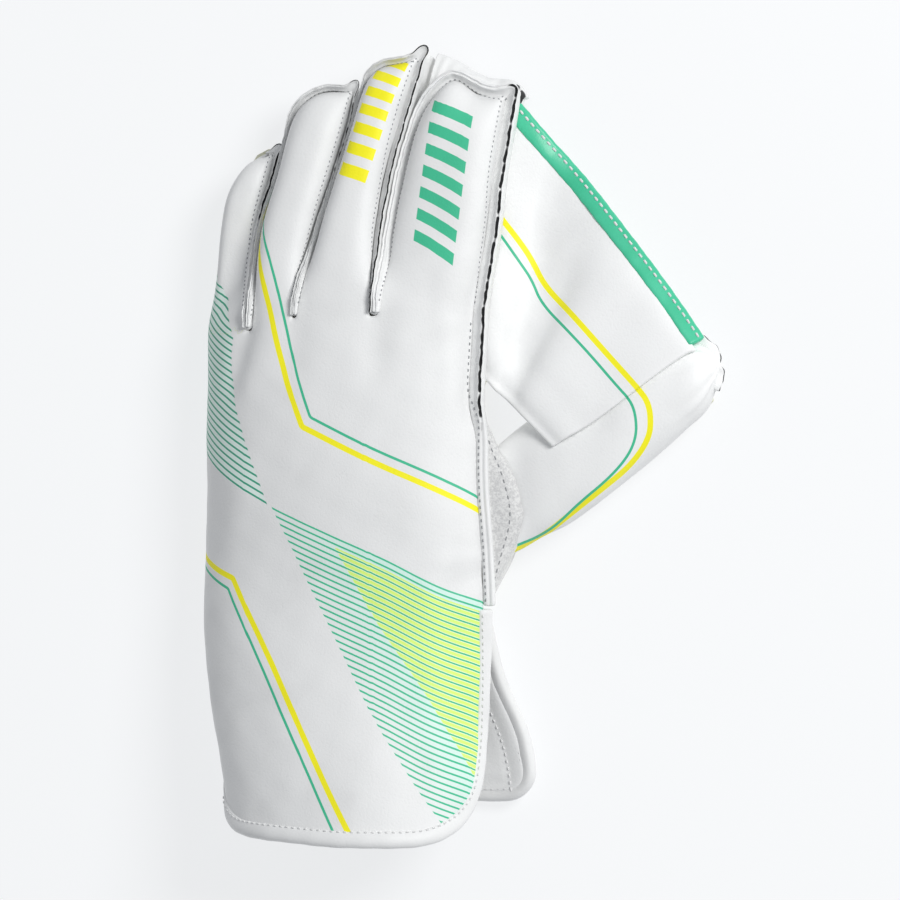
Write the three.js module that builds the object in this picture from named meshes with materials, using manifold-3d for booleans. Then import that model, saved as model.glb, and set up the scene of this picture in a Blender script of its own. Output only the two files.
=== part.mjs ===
// A wicketkeeping glove for the left hand, lying on its palm, in millimetres.
// +Y runs from the cuff to the fingertips, +X towards the thumb, +Z out of the back of the hand.
// Leather panels are curved sheets with a wall. Seam lips, bindings and trims are strips run along
// their edges.
import * as THREE from 'three';
import { mergeVertices } from 'three/addons/utils/BufferGeometryUtils.js';
import Module from 'manifold-3d';

// Driving sizes of the hand.
const GLOVE_LENGTH = 290; // cuff edge to the tip of the middle finger
const HAND_WIDTH = 106; // little finger's side to the thumb side's seam
const HAND_DEPTH = 48; // palm face to the highest point of the back
const SLIT_WIDTH = 4.4; // between two fingers
const CLEARANCE = 0.3; // between two pieces that are sewn together

// Walls and strips.
const LEATHER = 2.4; // back panel and thumb
const GUSSET = 1.6; // walls between the fingers and beside the hand
const FACING = 3; // palm and thumb facing
const WEB_THICKNESS = 2.2;
const CUFF_PADDING = 4.6; // the palm side's cuff flap
const LIP_WIDTH = 1.5; // a sewn lip standing between two fingers
const LIP_HEIGHT = 5.4;
const LIP_SINK = 2.2; // how far a lip reaches below the edge of the leather
const SEAM_DROP = LEATHER + CLEARANCE; // from the edge of the back to the walls sewn under it
const SIDE_LIP_WIDTH = 3.4; // the long lip on the thumb side, where it lies flat on the hand
const SIDE_LIP_HEIGHT = 2.9;
const THUMB_LIP = { width: 2.6, height: 3 };
const ROLL_GAP = 1.05; // from the leather's edge to the roll that covers it
const BINDING_WIDTH = 5; // the rolled edge of both cuff flaps
const BINDING_DEPTH = 4.4;
const TRIM_WIDTH = 5.2; // the coloured edge of the web
const TRIM_DEPTH = 3.6;
const TRIM_STEPS = 24;
const TRIM_END = 0.975; // where the web's trim stops, just before the thumb
const BACK_CORNERS = { left: 40, right: 25 }; // corner radii of the back's cuff, along the leather
const FLAP_CORNER = 11; // corner radius of the palm side's cuff flap

// The thumb lies beside the palm, from a point at the side of the hand. Its sections are slanted.
const THUMB_LENGTH = 97;
const THUMB_WIDTH = 29;
const THUMB_DEPTH = 26;
const THUMB_ANGLE = 35.7; // degrees from +X
const THUMB_SKEW = 0.5; // how far a section's inner side leads its outer side, as a share of its width
const THUMB_ROOT = { across: 1.038, along: 0.401 }; // shares of the hand's width and the glove's length
const THUMB_START = 0.03; // share of its length where the stall's mouth is

const LENGTHS = {
  gussetTop: 0.562, // where the side wall of the index finger meets the suede gusset
  wrist: 0.302, // where the cuff splits into two flaps
};

// The back panel, from the cuff's edge to the knuckles. y is a share of the glove's length, left and
// right of the hand's width, low and top of its depth; flare is 0 on the hand and 1 on the open cuff.
const BACK_ROWS = [
  { y: 0, left: 0.07, right: 0.972, low: 0.62, top: 1.38, flare: 1 },
  { y: 0.088, left: 0.05, right: 0.978, low: 0.54, top: 1.29, flare: 0.95 },
  { y: 0.176, left: 0.028, right: 0.98, low: 0.43, top: 1.16, flare: 0.7 },
  { y: 0.258, left: 0.008, right: 0.984, low: 0.3, top: 1.04, flare: 0.3 },
  { y: 0.302, left: 0, right: 0.994, low: 0.228, top: 1.0, flare: 0.1 },
  { y: 0.37, left: 0, right: 0.994, low: 0.1, top: 0.98, flare: 0 },
  { y: 0.46, left: 0, right: 0.99, low: 0.072, top: 1.0, flare: 0 },
  { y: 0.56, left: 0, right: 0.993, low: 0.072, top: 0.98, flare: 0 },
  { y: 0.663, left: 0.004, right: 1.004, low: 0.072, top: 0.93, flare: 0 },
];

// Its section, from the little finger's edge to the thumb side's seam, on the hand and at the cuff.
const BACK_SECTION = [
  { across: 0, handX: 0.03, handZ: 0, cuffX: 0.012, cuffZ: 0 },
  { across: 0.09, handX: 0, handZ: 0.27, cuffX: 0, cuffZ: 0.23 },
  { across: 0.19, handX: 0.03, handZ: 0.56, cuffX: 0.035, cuffZ: 0.48 },
  { across: 0.33, handX: 0.15, handZ: 0.83, cuffX: 0.16, cuffZ: 0.78 },
  { across: 0.5, handX: 0.362, handZ: 0.98, cuffX: 0.37, cuffZ: 0.97 },
  { across: 0.68, handX: 0.6, handZ: 1.0, cuffX: 0.62, cuffZ: 1.0 },
  { across: 0.84, handX: 0.81, handZ: 0.93, cuffX: 0.85, cuffZ: 0.78 },
  { across: 0.94, handX: 0.935, handZ: 0.8, cuffX: 0.96, cuffZ: 0.45 },
  { across: 1, handX: 1, handZ: 0.66, cuffX: 1, cuffZ: 0.2 },
];

// Where each slit between two fingers meets the back, as a share across it, and how far up the glove.
const SLITS = [
  { across: 0.362, y: 0.645 },
  { across: 0.5, y: 0.66 },
  { across: 0.708, y: 0.663 },
];

// The lines along which the fingers part, and the hand's two outer lines, as shares of its width.
const FINGER_LINES = [
  { y: 0.645, outer: 0.008, pinkyRing: 0.192, ringMiddle: 0.35, middleIndex: 0.632, side: 1.004 },
  { y: 0.72, outer: 0.032, pinkyRing: 0.19, ringMiddle: 0.392, middleIndex: 0.648, side: 1.022 },
  { y: 0.78, outer: 0.052, pinkyRing: 0.206, ringMiddle: 0.43, middleIndex: 0.662, side: 1.034 },
  { y: 0.84, outer: 0.075, pinkyRing: 0.25, ringMiddle: 0.477, middleIndex: 0.686, side: 1.046 },
  { y: 0.9, outer: 0.1, pinkyRing: 0.28, ringMiddle: 0.522, middleIndex: 0.724, side: 1.058 },
  { y: 0.96, outer: 0.12, pinkyRing: 0.298, ringMiddle: 0.556, middleIndex: 0.77, side: 1.072 },
  { y: 1, outer: 0.13, pinkyRing: 0.305, ringMiddle: 0.572, middleIndex: 0.8, side: 1.08 },
];

// Each finger: tip is a share of the glove's length, top and the rims at its end of the hand's depth.
const FINGERS = [
  { name: 'pinky', columns: 7, left: 'outer', right: 'pinkyRing', tip: 0.876, top: 0.56, tilt: 0.012,
    leftRim: 0.072, rightRim: 0.36 },
  { name: 'ring', columns: 5, left: 'pinkyRing', right: 'ringMiddle', tip: 0.953, top: 0.66, tilt: 0.01,
    leftRim: 0.38, rightRim: 0.42 },
  { name: 'middle', columns: 5, left: 'ringMiddle', right: 'middleIndex', tip: 0.985, top: 0.7, tilt: 0.014,
    leftRim: 0.42, rightRim: 0.46 },
  { name: 'index', columns: 8, left: 'middleIndex', right: 'side', tip: 0.961, top: 0.68, tilt: -0.012,
    leftRim: 0.46, rightRim: 0.46 },
];
const FINGER_ROWS = [0, 0.06, 0.13, 0.2, 0.34, 0.48, 0.62, 0.74, 0.84, 0.91, 0.965, 1];
const FINGER_SQUARE = 0.62; // below 1, a finger's section is squarer than an ellipse
const RIM_FALL = 0.6; // below 1, a slit deepens quickly above the knuckles
const KNUCKLE_BLEND = 0.34; // share of the finger over which the hand's section turns into the finger's
const TIP_START = 0.8; // share of the finger where its end begins to close
const TIP_NARROW = 0.24; // how much narrower the end is, as a share
const TIP_ROUND = 5.5; // how far the end's corners fall back

// The palm's face and the side of the hand below the thumb side's seam: rise is the height of the
// palm's face, foot and swell how far the side's foot and middle stand out from the seam.
const SIDE_ROWS = [
  { y: 0.302, rise: 0.15, foot: -0.03, swell: 0.005 },
  { y: 0.325, rise: 0.09, foot: 0, swell: 0.04 },
  { y: 0.36, rise: 0.03, foot: 0.05, swell: 0.085 },
  { y: 0.414, rise: 0, foot: 0.1, swell: 0.145 },
  { y: 0.46, rise: 0, foot: 0.085, swell: 0.125 },
  { y: 0.505, rise: 0, foot: 0.04, swell: 0.072 },
  { y: 0.553, rise: 0, foot: 0.01, swell: 0.024 },
  { y: 0.61, rise: 0, foot: 0, swell: 0.006 },
  { y: 0.663, rise: 0, foot: 0, swell: 0 },
];
const SIDE_ROUND = 0.5; // below 1, the side of the hand is squarer than an ellipse

// The palm side's cuff flap: x as shares of the hand's width, rise and curl of its depth.
const FLAP_ROWS = [
  { y: 0.062, left: 0.1, right: 1.09, rise: 0.01, curl: 0.1 },
  { y: 0.122, left: 0.095, right: 1.07, rise: 0.018, curl: 0.11 },
  { y: 0.191, left: 0.12, right: 1.014, rise: 0.07, curl: 0.12 },
  { y: 0.25, left: 0.138, right: 0.978, rise: 0.13, curl: 0.1 },
  { y: 0.302, left: 0.145, right: 0.95, rise: 0.15, curl: 0.06 },
];

// The thumb along its length: inner and outer are shares of its half width, depth of its own.
const THUMB_ROWS = [
  { t: 0, inner: 1.6, outer: 0.7, depth: 0.82 },
  { t: 0.08, inner: 1.66, outer: 0.78, depth: 0.88 },
  { t: 0.2, inner: 1.7, outer: 0.9, depth: 0.98 },
  { t: 0.33, inner: 1.36, outer: 0.96, depth: 1.04 },
  { t: 0.48, inner: 1.06, outer: 0.97, depth: 1.02 },
  { t: 0.67, inner: 0.98, outer: 0.9, depth: 0.98 },
  { t: 0.85, inner: 0.92, outer: 0.82, depth: 0.88 },
  { t: 0.94, inner: 0.8, outer: 0.7, depth: 0.72 },
  { t: 1, inner: 0.42, outer: 0.34, depth: 0.4 },
];
const THUMB_SQUARE = 0.8;
const THUMB_SIDES = 18;

// The web's four corners. The thumb's two are shares of its length and half width, the index finger's
// are shares of the finger.
const WEB = {
  indexLow: 0.88, // along the hand's side, as a share of the knuckles' distance from the cuff
  indexHigh: 0.9, // along the index finger
  thumbLow: { t: 0.29, side: -0.8 },
  thumbHigh: { t: 0.96, side: -0.62 },
  bow: 2.2, // how far the top edge bows out
  sag: 7, // depth of the fold beside the index finger
  fold: 0.3, // where that fold lies, as a share from finger to thumb
  drop: 5, // below the lip of the index finger
  columns: 12,
  rows: 10,
};

const WHITE_LEATHER = new THREE.MeshStandardMaterial({ color: 0xe9e9e9, roughness: 0.5, metalness: 0 });
const SEAM_LEATHER = new THREE.MeshStandardMaterial({ color: 0xdcdcda, roughness: 0.55, metalness: 0 });
const SUEDE = new THREE.MeshStandardMaterial({ color: 0xb9b9b8, roughness: 0.9, metalness: 0 });
const FACING_RUBBER = new THREE.MeshStandardMaterial({ color: 0xc9cac6, roughness: 0.8, metalness: 0 });
const GREEN_TRIM = new THREE.MeshStandardMaterial({ color: 0x35c191, roughness: 0.45, metalness: 0 });

const wasm = await Module();
wasm.setup();

const glove = new THREE.Group();
const lerp = THREE.MathUtils.lerp;
const clamp = THREE.MathUtils.clamp;
const up = new THREE.Vector3(0, 0, 1);

function ease(t) {
  return THREE.MathUtils.smoothstep(t, 0, 1);
}

// A smooth curve through one column of a table.
function read(table, key, column, at) {
  const last = table.length - 1;
  let i = 0;
  while (i < last - 1 && at > table[i + 1][key]) i += 1;
  const slope = (k) => {
    const a = table[Math.max(k - 1, 0)];
    const b = table[Math.min(k + 1, last)];
    return (b[column] - a[column]) / (b[key] - a[key]);
  };
  const step = table[i + 1][key] - table[i][key];
  const t = clamp((at - table[i][key]) / step, 0, 1);
  const rise = table[i + 1][column] - table[i][column];
  const start = slope(i) * step;
  const end = slope(i + 1) * step;
  return table[i][column] + t * (start + t * (3 * rise - 2 * start - end + t * (start + end - 2 * rise)));
}

// The back's section at a share of the glove's length.
function backSection(y, across) {
  const row = (column) => read(BACK_ROWS, 'y', column, y);
  const shape = (column) => read(BACK_SECTION, 'across', column, across);
  const x = lerp(shape('handX'), shape('cuffX'), row('flare'));
  const z = lerp(shape('handZ'), shape('cuffZ'), row('flare'));
  return new THREE.Vector3(
    HAND_WIDTH * lerp(row('left'), row('right'), x),
    GLOVE_LENGTH * y,
    HAND_DEPTH * lerp(row('low'), row('top'), z),
  );
}

const CUFF_STEPS = 40; // for measuring the leather across the cuff
const cuffPoints = Array.from({ length: CUFF_STEPS + 1 }, (_, i) => backSection(0, i / CUFF_STEPS));
const CUFF_ARC = cuffPoints.slice(1).reduce((sum, p, i) => sum + p.distanceTo(cuffPoints[i]), 0);

// How far a flap's end falls back at its rounded corners, at a distance in from that side.
function cornerDrop(inset, radius) {
  const d = clamp(1 - inset / radius, 0, 1);
  return radius * (1 - Math.sqrt(1 - d * d * 0.98));
}

const KNUCKLES = [{ across: 0, y: SLITS[0].y }, ...SLITS, { across: 1, y: SLITS[2].y }];

// A point of the back: v is 0 at the cuff's edge, inside its binding, and 1 at the knuckles.
function backPoint(across, v) {
  const knuckle = read(KNUCKLES, 'across', 'y', across);
  const point = backSection(lerp(BINDING_WIDTH / GLOVE_LENGTH, knuckle, v), across);
  const left = cornerDrop(CUFF_ARC * across, BACK_CORNERS.left);
  const right = cornerDrop(CUFF_ARC * (1 - across), BACK_CORNERS.right);
  point.y += (left + right) * (1 - v) ** 4;
  return point;
}

// A point of a finger's back: s runs from its left rim to its right one, v from knuckle to tip.
function fingerPoint(finger, s, v) {
  const root = backPoint(lerp(finger.from, finger.to, s), 1);
  const leftRoot = backPoint(finger.from, 1);
  const rightRoot = backPoint(finger.to, 1);
  const crownRoot = backPoint((finger.from + finger.to) / 2, 1);
  const angle = Math.PI * s;
  const sideways = -Math.sign(Math.cos(angle)) * Math.abs(Math.cos(angle)) ** FINGER_SQUARE;
  const tip = GLOVE_LENGTH * (finger.tip + finger.tilt * sideways) - TIP_ROUND * sideways ** 2;
  const y = lerp(root.y, tip, v);
  const line = (side, at) => HAND_WIDTH * read(FINGER_LINES, 'y', finger[side], at / GLOVE_LENGTH);
  const left = line('left', y) + (finger.from > 0 ? SLIT_WIDTH / 2 : 0);
  const right = line('right', y) - (finger.to < 1 ? SLIT_WIDTH / 2 : 0);
  const centre = (left + right) / 2;
  const moved = (line('left', y) + line('right', y) - line('left', root.y) - line('right', root.y)) / 2;
  const closing = clamp((v - TIP_START) / (1 - TIP_START), 0, 1);
  const narrow = 1 - TIP_NARROW * closing ** 2;
  const rim = lerp(
    lerp(leftRoot.z, HAND_DEPTH * finger.leftRim, v ** RIM_FALL),
    lerp(rightRoot.z, HAND_DEPTH * finger.rightRim, v ** RIM_FALL),
    ease(s * 1.4),
  );
  const crown = lerp(crownRoot.z, HAND_DEPTH * finger.top, v ** 1.4);
  const arch = Math.abs(Math.sin(angle)) ** FINGER_SQUARE * Math.sqrt(1 - 0.97 * closing ** 2);
  const shaped = new THREE.Vector3(
    centre + sideways * narrow * (right - left) / 2,
    y,
    rim + (crown - rim) * arch,
  );
  const plain = new THREE.Vector3(root.x + moved, y, root.z);
  return plain.lerp(shaped, ease(v / KNUCKLE_BLEND));
}

const halfSlit = SLIT_WIDTH / 2 / (HAND_WIDTH * 1.3);
FINGERS.forEach((finger, i) => {
  finger.from = i === 0 ? 0 : SLITS[i - 1].across + halfSlit;
  finger.to = i === SLITS.length ? 1 : SLITS[i].across - halfSlit;
});

// A closed solid from a list of vertices and triangles.
function solidFrom(points, triangles) {
  const geometry = new THREE.BufferGeometry();
  geometry.setAttribute('position', new THREE.Float32BufferAttribute(points.flatMap((p) => p.toArray()), 3));
  geometry.setIndex(triangles.flat());
  return geometry;
}

// A leather sheet from quads whose corners run anticlockwise seen from outside: the outer face, the same
// face moved in by its wall, and a rim along every free edge, cut plumb where isPlumb says so.
function sheet(quads, wall, isPlumb = () => false) {
  const points = [];
  const index = new Map();
  const idOf = (p) => {
    const key = p.toArray().map((c) => c.toFixed(3)).join();
    if (!index.has(key)) index.set(key, points.push(p.clone()) - 1);
    return index.get(key);
  };
  const faces = quads.map((quad) => quad.map(idOf))
    .map((quad) => quad.filter((id, k) => quad.indexOf(id) === k));
  const normals = points.map(() => new THREE.Vector3());
  faces.forEach((face) => {
    const [a, b, c, d] = face.map((id) => points[id]);
    const across = c.clone().sub(a);
    const normal = d ? across.cross(d.clone().sub(b)) : b.clone().sub(a).cross(across);
    face.forEach((id) => normals[id].add(normal));
  });
  const count = points.length;
  const triangles = [];
  const edges = new Map();
  faces.forEach((face) => {
    for (let k = 1; k < face.length - 1; k += 1) {
      triangles.push([face[0], face[k], face[k + 1]]);
      triangles.push([face[0] + count, face[k + 1] + count, face[k] + count]);
    }
    face.forEach((id, k) => {
      const next = face[(k + 1) % face.length];
      if (!edges.delete(`${next},${id}`)) edges.set(`${id},${next}`, [id, next]);
    });
  });
  const outward = points.map(() => new THREE.Vector3());
  edges.forEach(([a, b]) => {
    const side = points[b].clone().sub(points[a]).cross(up);
    outward[a].add(side);
    outward[b].add(side);
  });
  const all = [...points, ...points.map((p, id) => {
    const depth = normals[id].setLength(wall);
    const out = outward[id].normalize();
    if (isPlumb(p)) depth.addScaledVector(out, Math.max(0, -depth.dot(out)));
    return p.clone().sub(depth);
  })];
  edges.forEach(([a, b]) => {
    triangles.push([b, a, a + count], [b, a + count, b + count]);
  });
  return solidFrom(all, triangles);
}

// Quads between neighbouring rows of points; flip turns them over.
function quadsOf(rows, flip = false) {
  const quads = [];
  for (let j = 0; j < rows.length - 1; j += 1) {
    for (let i = 0; i < rows[j].length - 1; i += 1) {
      const quad = [rows[j][i], rows[j][i + 1], rows[j + 1][i + 1], rows[j + 1][i]];
      quads.push(flip ? quad.reverse() : quad);
    }
  }
  return quads;
}

// A strip: closed loops of points joined in order, with a lid on each end.
function strip(loops) {
  const points = loops.flat();
  const sides = loops[0].length;
  const triangles = [];
  for (let j = 0; j < loops.length - 1; j += 1) {
    for (let i = 0; i < sides; i += 1) {
      const a = j * sides + i;
      const b = j * sides + (i + 1) % sides;
      triangles.push([a, b, b + sides], [a, b + sides, a + sides]);
    }
  }
  const end = (loops.length - 1) * sides;
  for (let i = 1; i < sides - 1; i += 1) {
    triangles.push([0, i + 1, i], [end, end + i, end + i + 1]);
  }
  return solidFrom(points, triangles);
}

// A strip along a path of { point, out, rise } frames, whose section is a list of [out, rise] pairs.
function stripAlong(frames, sectionAt) {
  return strip(frames.map((frame, i) => sectionAt(i / (frames.length - 1)).map(([out, rise]) => (
    frame.point.clone().addScaledVector(frame.out, out).addScaledVector(frame.rise, rise)
  ))));
}

function asSolid(geometry) {
  const bare = new THREE.BufferGeometry();
  bare.setAttribute('position', geometry.getAttribute('position'));
  bare.setIndex(geometry.index);
  const merged = mergeVertices(bare, 1e-4);
  return new wasm.Manifold(new wasm.Mesh({
    numProp: 3,
    vertProperties: merged.attributes.position.array,
    triVerts: new Uint32Array(merged.index.array),
  }));
}

function fromSolid(solid) {
  const mesh = solid.getMesh();
  const positions = new Float32Array(mesh.numVert * 3);
  for (let i = 0; i < mesh.numVert; i += 1) {
    positions.set(mesh.vertProperties.subarray(i * mesh.numProp, i * mesh.numProp + 3), i * 3);
  }
  const geometry = new THREE.BufferGeometry();
  geometry.setAttribute('position', new THREE.BufferAttribute(positions, 3));
  geometry.setIndex(new THREE.BufferAttribute(mesh.triVerts, 1));
  return geometry;
}

function addPiece(name, geometry, material) {
  geometry.computeVertexNormals();
  const mesh = new THREE.Mesh(geometry, material);
  mesh.name = name;
  glove.add(mesh);
  return mesh;
}

// Where the back's rows lie, from the cuff's edge to the knuckles; the vents end at VENT_TOP.
const VENT_TOP = 0.42;
const BACK_SHARES = [0, 0.02, 0.06, 0.12, 0.2, 0.28, 0.36, VENT_TOP, 0.52, 0.6, 0.68, 0.76, 0.85, 0.93, 1];

// The columns across the hand, with one narrow column at the end of each slit.
const handColumns = FINGERS.flatMap((finger) => (
  Array.from({ length: finger.columns + 1 }, (_, i) => lerp(finger.from, finger.to, i / finger.columns))
));

// The back of the hand, the backs of the fingers and the back of the cuff are one piece of leather.
function makeBackPanel() {
  const hand = quadsOf(BACK_SHARES.map((v) => handColumns.map((across) => backPoint(across, v))));
  const fingers = FINGERS.flatMap((finger) => quadsOf(FINGER_ROWS.map((v) => (
    Array.from({ length: finger.columns + 1 }, (_, i) => fingerPoint(finger, i / finger.columns, v))
  ))));
  const isFinger = (point) => point.y > GLOVE_LENGTH * SLITS[0].y;
  addPiece('back_panel', sheet([...hand, ...fingers], LEATHER, isFinger), WHITE_LEATHER);
}

// The side of the hand, between the seam and the palm's face: t is 0 at the seam and 1 at the foot.
function sidePoint(y, t) {
  const seam = backSection(y, 1);
  const row = (column) => read(SIDE_ROWS, 'y', column, y);
  const top = seam.z - SEAM_DROP;
  const foot = HAND_DEPTH * row('rise') + FACING * 1.12 + CLEARANCE;
  const out = row('swell') * Math.sin(Math.PI / 2 * t) ** SIDE_ROUND - (row('swell') - row('foot')) * t ** 4;
  const fall = 1 - Math.abs(Math.cos(Math.PI / 2 * t)) ** SIDE_ROUND;
  return new THREE.Vector3(seam.x + HAND_WIDTH * out, seam.y, lerp(top, foot, t < 1 ? fall : 1));
}

// The palm's face: a plain facing under the palm and the fingers.
function makePalmFacing() {
  const steps = 8;
  const thirds = [0, 1, 2, 3];
  const ends = [backPoint(0, 1).x, backPoint(1, 1).x];
  const columns = FINGERS.flatMap((finger) => (
    thirds.map((i) => backPoint(finger.from, 1).lerp(backPoint(finger.to, 1), i / 3))
  ));
  const rows = Array.from({ length: steps + 1 }, (_, j) => columns.map((knuckle) => {
    const y = lerp(LENGTHS.wrist, knuckle.y / GLOVE_LENGTH, j / steps);
    const left = backSection(y, 0).x;
    const right = sidePoint(y, 1).x;
    const x = lerp(left, right, (knuckle.x - ends[0]) / (ends[1] - ends[0]));
    return new THREE.Vector3(x, GLOVE_LENGTH * y, HAND_DEPTH * read(SIDE_ROWS, 'y', 'rise', y));
  }));
  const fingers = FINGERS.flatMap((finger, k) => quadsOf(FINGER_ROWS.map((v, j) => thirds.map((i) => {
    const left = fingerPoint(finger, 0, v);
    const right = fingerPoint(finger, 1, v);
    const middle = fingerPoint(finger, 0.5, v);
    const point = left.clone().lerp(right, i / 3);
    if (j === 0) return rows[steps][k * thirds.length + i].clone();
    point.y = lerp(left.y, right.y, i / 3) + (middle.y - (left.y + right.y) / 2) * (i % 3 ? 0.9 : 0);
    point.z = 0;
    return point;
  })), true));
  addPiece('palm_facing', sheet([...quadsOf(rows, true), ...fingers], FACING), FACING_RUBBER);
}

// One finger's rim from its left root round the tip to its right root, as points with outward directions.
function rimOf(finger, fromShare, toShare) {
  const stops = [
    ...FINGER_ROWS.slice(0, -1).map((v) => [0, v]),
    ...[0, 0.1, 0.22, 0.36, 0.49, 0.5, 0.51, 0.64, 0.78, 0.9, 1].map((s) => [s, 1]),
    ...FINGER_ROWS.slice(0, -1).reverse().map((v) => [1, v]),
  ];
  const points = stops.map(([s, v]) => fingerPoint(finger, s, v));
  const inners = stops.map(([s, v]) => fingerPoint(finger, clamp(s, 0.07, 0.93), v === 1 ? 0.97 : v));
  const frames = points.map((point, i) => {
    const before = points[Math.max(i - 1, 0)];
    const after = points[Math.min(i + 1, points.length - 1)];
    const direction = after.clone().sub(before).setZ(0).normalize();
    return { point, inner: inners[i], out: new THREE.Vector3(-direction.y, direction.x, 0), rise: up };
  });
  const last = frames.length - 1;
  return frames.slice(Math.round(fromShare * last), Math.round(toShare * last) + 1);
}

// A wall under a rim, down to the palm's face, as a sheet that faces out of the hollow. Its top stays
// below the back's leather, whose slope beside the rim sets how far that reaches down.
function wallUnder(frames) {
  const levels = [0, 0.5, 1];
  return frames.map(({ point, inner }) => {
    const slope = (point.z - inner.z) / Math.max(Math.hypot(point.x - inner.x, point.y - inner.y), 0.1);
    const length = Math.hypot(1, slope);
    const drop = slope > 0 ? LEATHER * length + GUSSET * slope : LEATHER / length;
    return levels.map((t) => point.clone().setZ(lerp(point.z - drop - CLEARANCE * 3, FACING + CLEARANCE, t)));
  });
}

const TIP_HALF = 0.5; // the middle of a rim's frames, at the tip
const LIP_START = 0.035; // a lip starts one frame past the slit's root

// Between two fingers one gusset runs from the tip of one, round the slit's root, to the tip of the next.
function makeGussets() {
  FINGERS.slice(0, -1).forEach((finger, i) => {
    const next = FINGERS[i + 1];
    const start = i === 0 ? TIP_HALF - 0.1 : TIP_HALF;
    const frames = [...rimOf(finger, start, 1), ...rimOf(next, 0, TIP_HALF)];
    const rows = wallUnder(frames);
    rows[0].forEach((p) => { p.x += CLEARANCE * 1.5; });
    rows.at(-1).forEach((p) => { p.x -= CLEARANCE * 1.5; });
    addPiece(`${finger.name}_${next.name}_gusset`, sheet(quadsOf(rows, true), GUSSET), SEAM_LEATHER);
  });
  const index = FINGERS.at(-1);
  const rows = wallUnder(rimOf(index, TIP_HALF, 1));
  rows[0].forEach((p) => { p.x += CLEARANCE * 1.5; });
  [0.25, 0.5, 0.75, 1].forEach((t) => {
    const y = lerp(SLITS[2].y, LENGTHS.gussetTop, t);
    rows.push([0, 0.5, 1].map((level) => sidePoint(y, level)));
  });
  addPiece('index_side_wall', sheet(quadsOf(rows, true), GUSSET), SEAM_LEATHER);
}

// The sewn lips that stand up round the fingers.
function lipSection(width, height) {
  const low = -LIP_SINK;
  const high = height + low;
  return [
    [CLEARANCE, low], [CLEARANCE + width, low], [CLEARANCE + width, high - width * 0.3],
    [CLEARANCE + width * 0.6, high], [CLEARANCE + width * 0.2, high], [CLEARANCE, high - width * 0.2],
  ];
}

function makeLips() {
  FINGERS.slice(0, -1).forEach((finger, i) => {
    const frames = rimOf(finger, i === 0 ? TIP_HALF - 0.06 : LIP_START, 1 - LIP_START);
    addPiece(`${finger.name}_lip`, stripAlong(frames, () => lipSection(LIP_WIDTH, LIP_HEIGHT)), SEAM_LEATHER);
  });
  const index = FINGERS.at(-1);
  const side = [0.96, 0.88, 0.8, 0.7, 0.6, 0.52, LENGTHS.wrist / SLITS[2].y].map((v) => {
    const point = backPoint(1, v);
    return { point, out: new THREE.Vector3(1, 0, 0), rise: up };
  });
  const finger = rimOf(index, LIP_START, 1);
  const frames = [...finger, ...side];
  const turn = TIP_HALF * finger.length / frames.length;
  const sectionAt = (t) => {
    const outer = ease((t - turn) / 0.12);
    const flat = ease((t - 0.72) / 0.12);
    const width = lerp(lerp(LIP_WIDTH, LIP_WIDTH * 1.6, outer), SIDE_LIP_WIDTH, flat);
    const height = lerp(LIP_HEIGHT, SIDE_LIP_HEIGHT, flat);
    return lipSection(width, height);
  };
  addPiece('index_lip', stripAlong(frames, sectionAt), SEAM_LEATHER);
}

// The thumb's own frame.
const thumbAngle = THREE.MathUtils.degToRad(THUMB_ANGLE);
const thumbAlong = new THREE.Vector3(Math.cos(thumbAngle), Math.sin(thumbAngle), 0);
const thumbSide = new THREE.Vector3(Math.sin(thumbAngle), -Math.cos(thumbAngle), 0);
const thumbRoot = new THREE.Vector3(HAND_WIDTH * THUMB_ROOT.across, GLOVE_LENGTH * THUMB_ROOT.along, 0);

// A point on the thumb's section at t of its length; grow moves it out of the leather.
function thumbPoint(t, turn, grow = 0) {
  const side = Math.cos(turn) > 0 ? 'outer' : 'inner';
  const halfWidth = THUMB_WIDTH / 2 * read(THUMB_ROWS, 't', side, t) + grow;
  const depth = THUMB_DEPTH / 2 * read(THUMB_ROWS, 't', 'depth', t);
  const power = (value) => Math.sign(value) * Math.abs(value) ** THUMB_SQUARE;
  const across = halfWidth * power(Math.cos(turn));
  const middle = FACING + CLEARANCE + THUMB_DEPTH * 0.52;
  return thumbRoot.clone()
    .addScaledVector(thumbAlong, THUMB_LENGTH * t - THUMB_SKEW * across)
    .addScaledVector(thumbSide, across)
    .setZ(middle + (depth + grow) * power(Math.sin(turn)));
}

function thumbLoops(stations, grow) {
  return stations.map((t) => Array.from({ length: THUMB_SIDES }, (_, i) => (
    thumbPoint(t, -2 * Math.PI * i / THUMB_SIDES, grow)
  )));
}

// The thumb's stall is a thimble: one face goes out to the tip, folds in at the mouth and comes back.
function makeThumb() {
  const outer = [THUMB_START, 0.1, 0.2, 0.3, 0.42, 0.55, 0.68, 0.8, 0.89, 0.95, 1];
  const inner = [0.95, 0.9, 0.8, 0.68, 0.55, 0.42, 0.3, 0.2, 0.1, THUMB_START];
  const loops = [...thumbLoops(inner, -LEATHER), ...thumbLoops(outer, 0)];
  addPiece('thumb_stall', strip(loops), WHITE_LEATHER);

  const flat = 0.72;
  const sideAt = (t, turn) => thumbPoint(t, turn).setZ(0).lerp(thumbPoint(t, Math.PI / 2).setZ(0), 1 - flat);
  const stations = [0.14, 0.24, 0.36, 0.5, 0.64, 0.78, 0.88, 0.94];
  const outline = [
    ...stations.map((t) => sideAt(t, 0)),
    ...stations.slice().reverse().map((t) => sideAt(t, Math.PI)),
  ].map((p) => new THREE.Vector2(p.x, p.y));
  const plate = new THREE.ExtrudeGeometry(new THREE.Shape(outline), { depth: FACING, bevelEnabled: false });
  addPiece('thumb_facing', plate, FACING_RUBBER);
}

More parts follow.
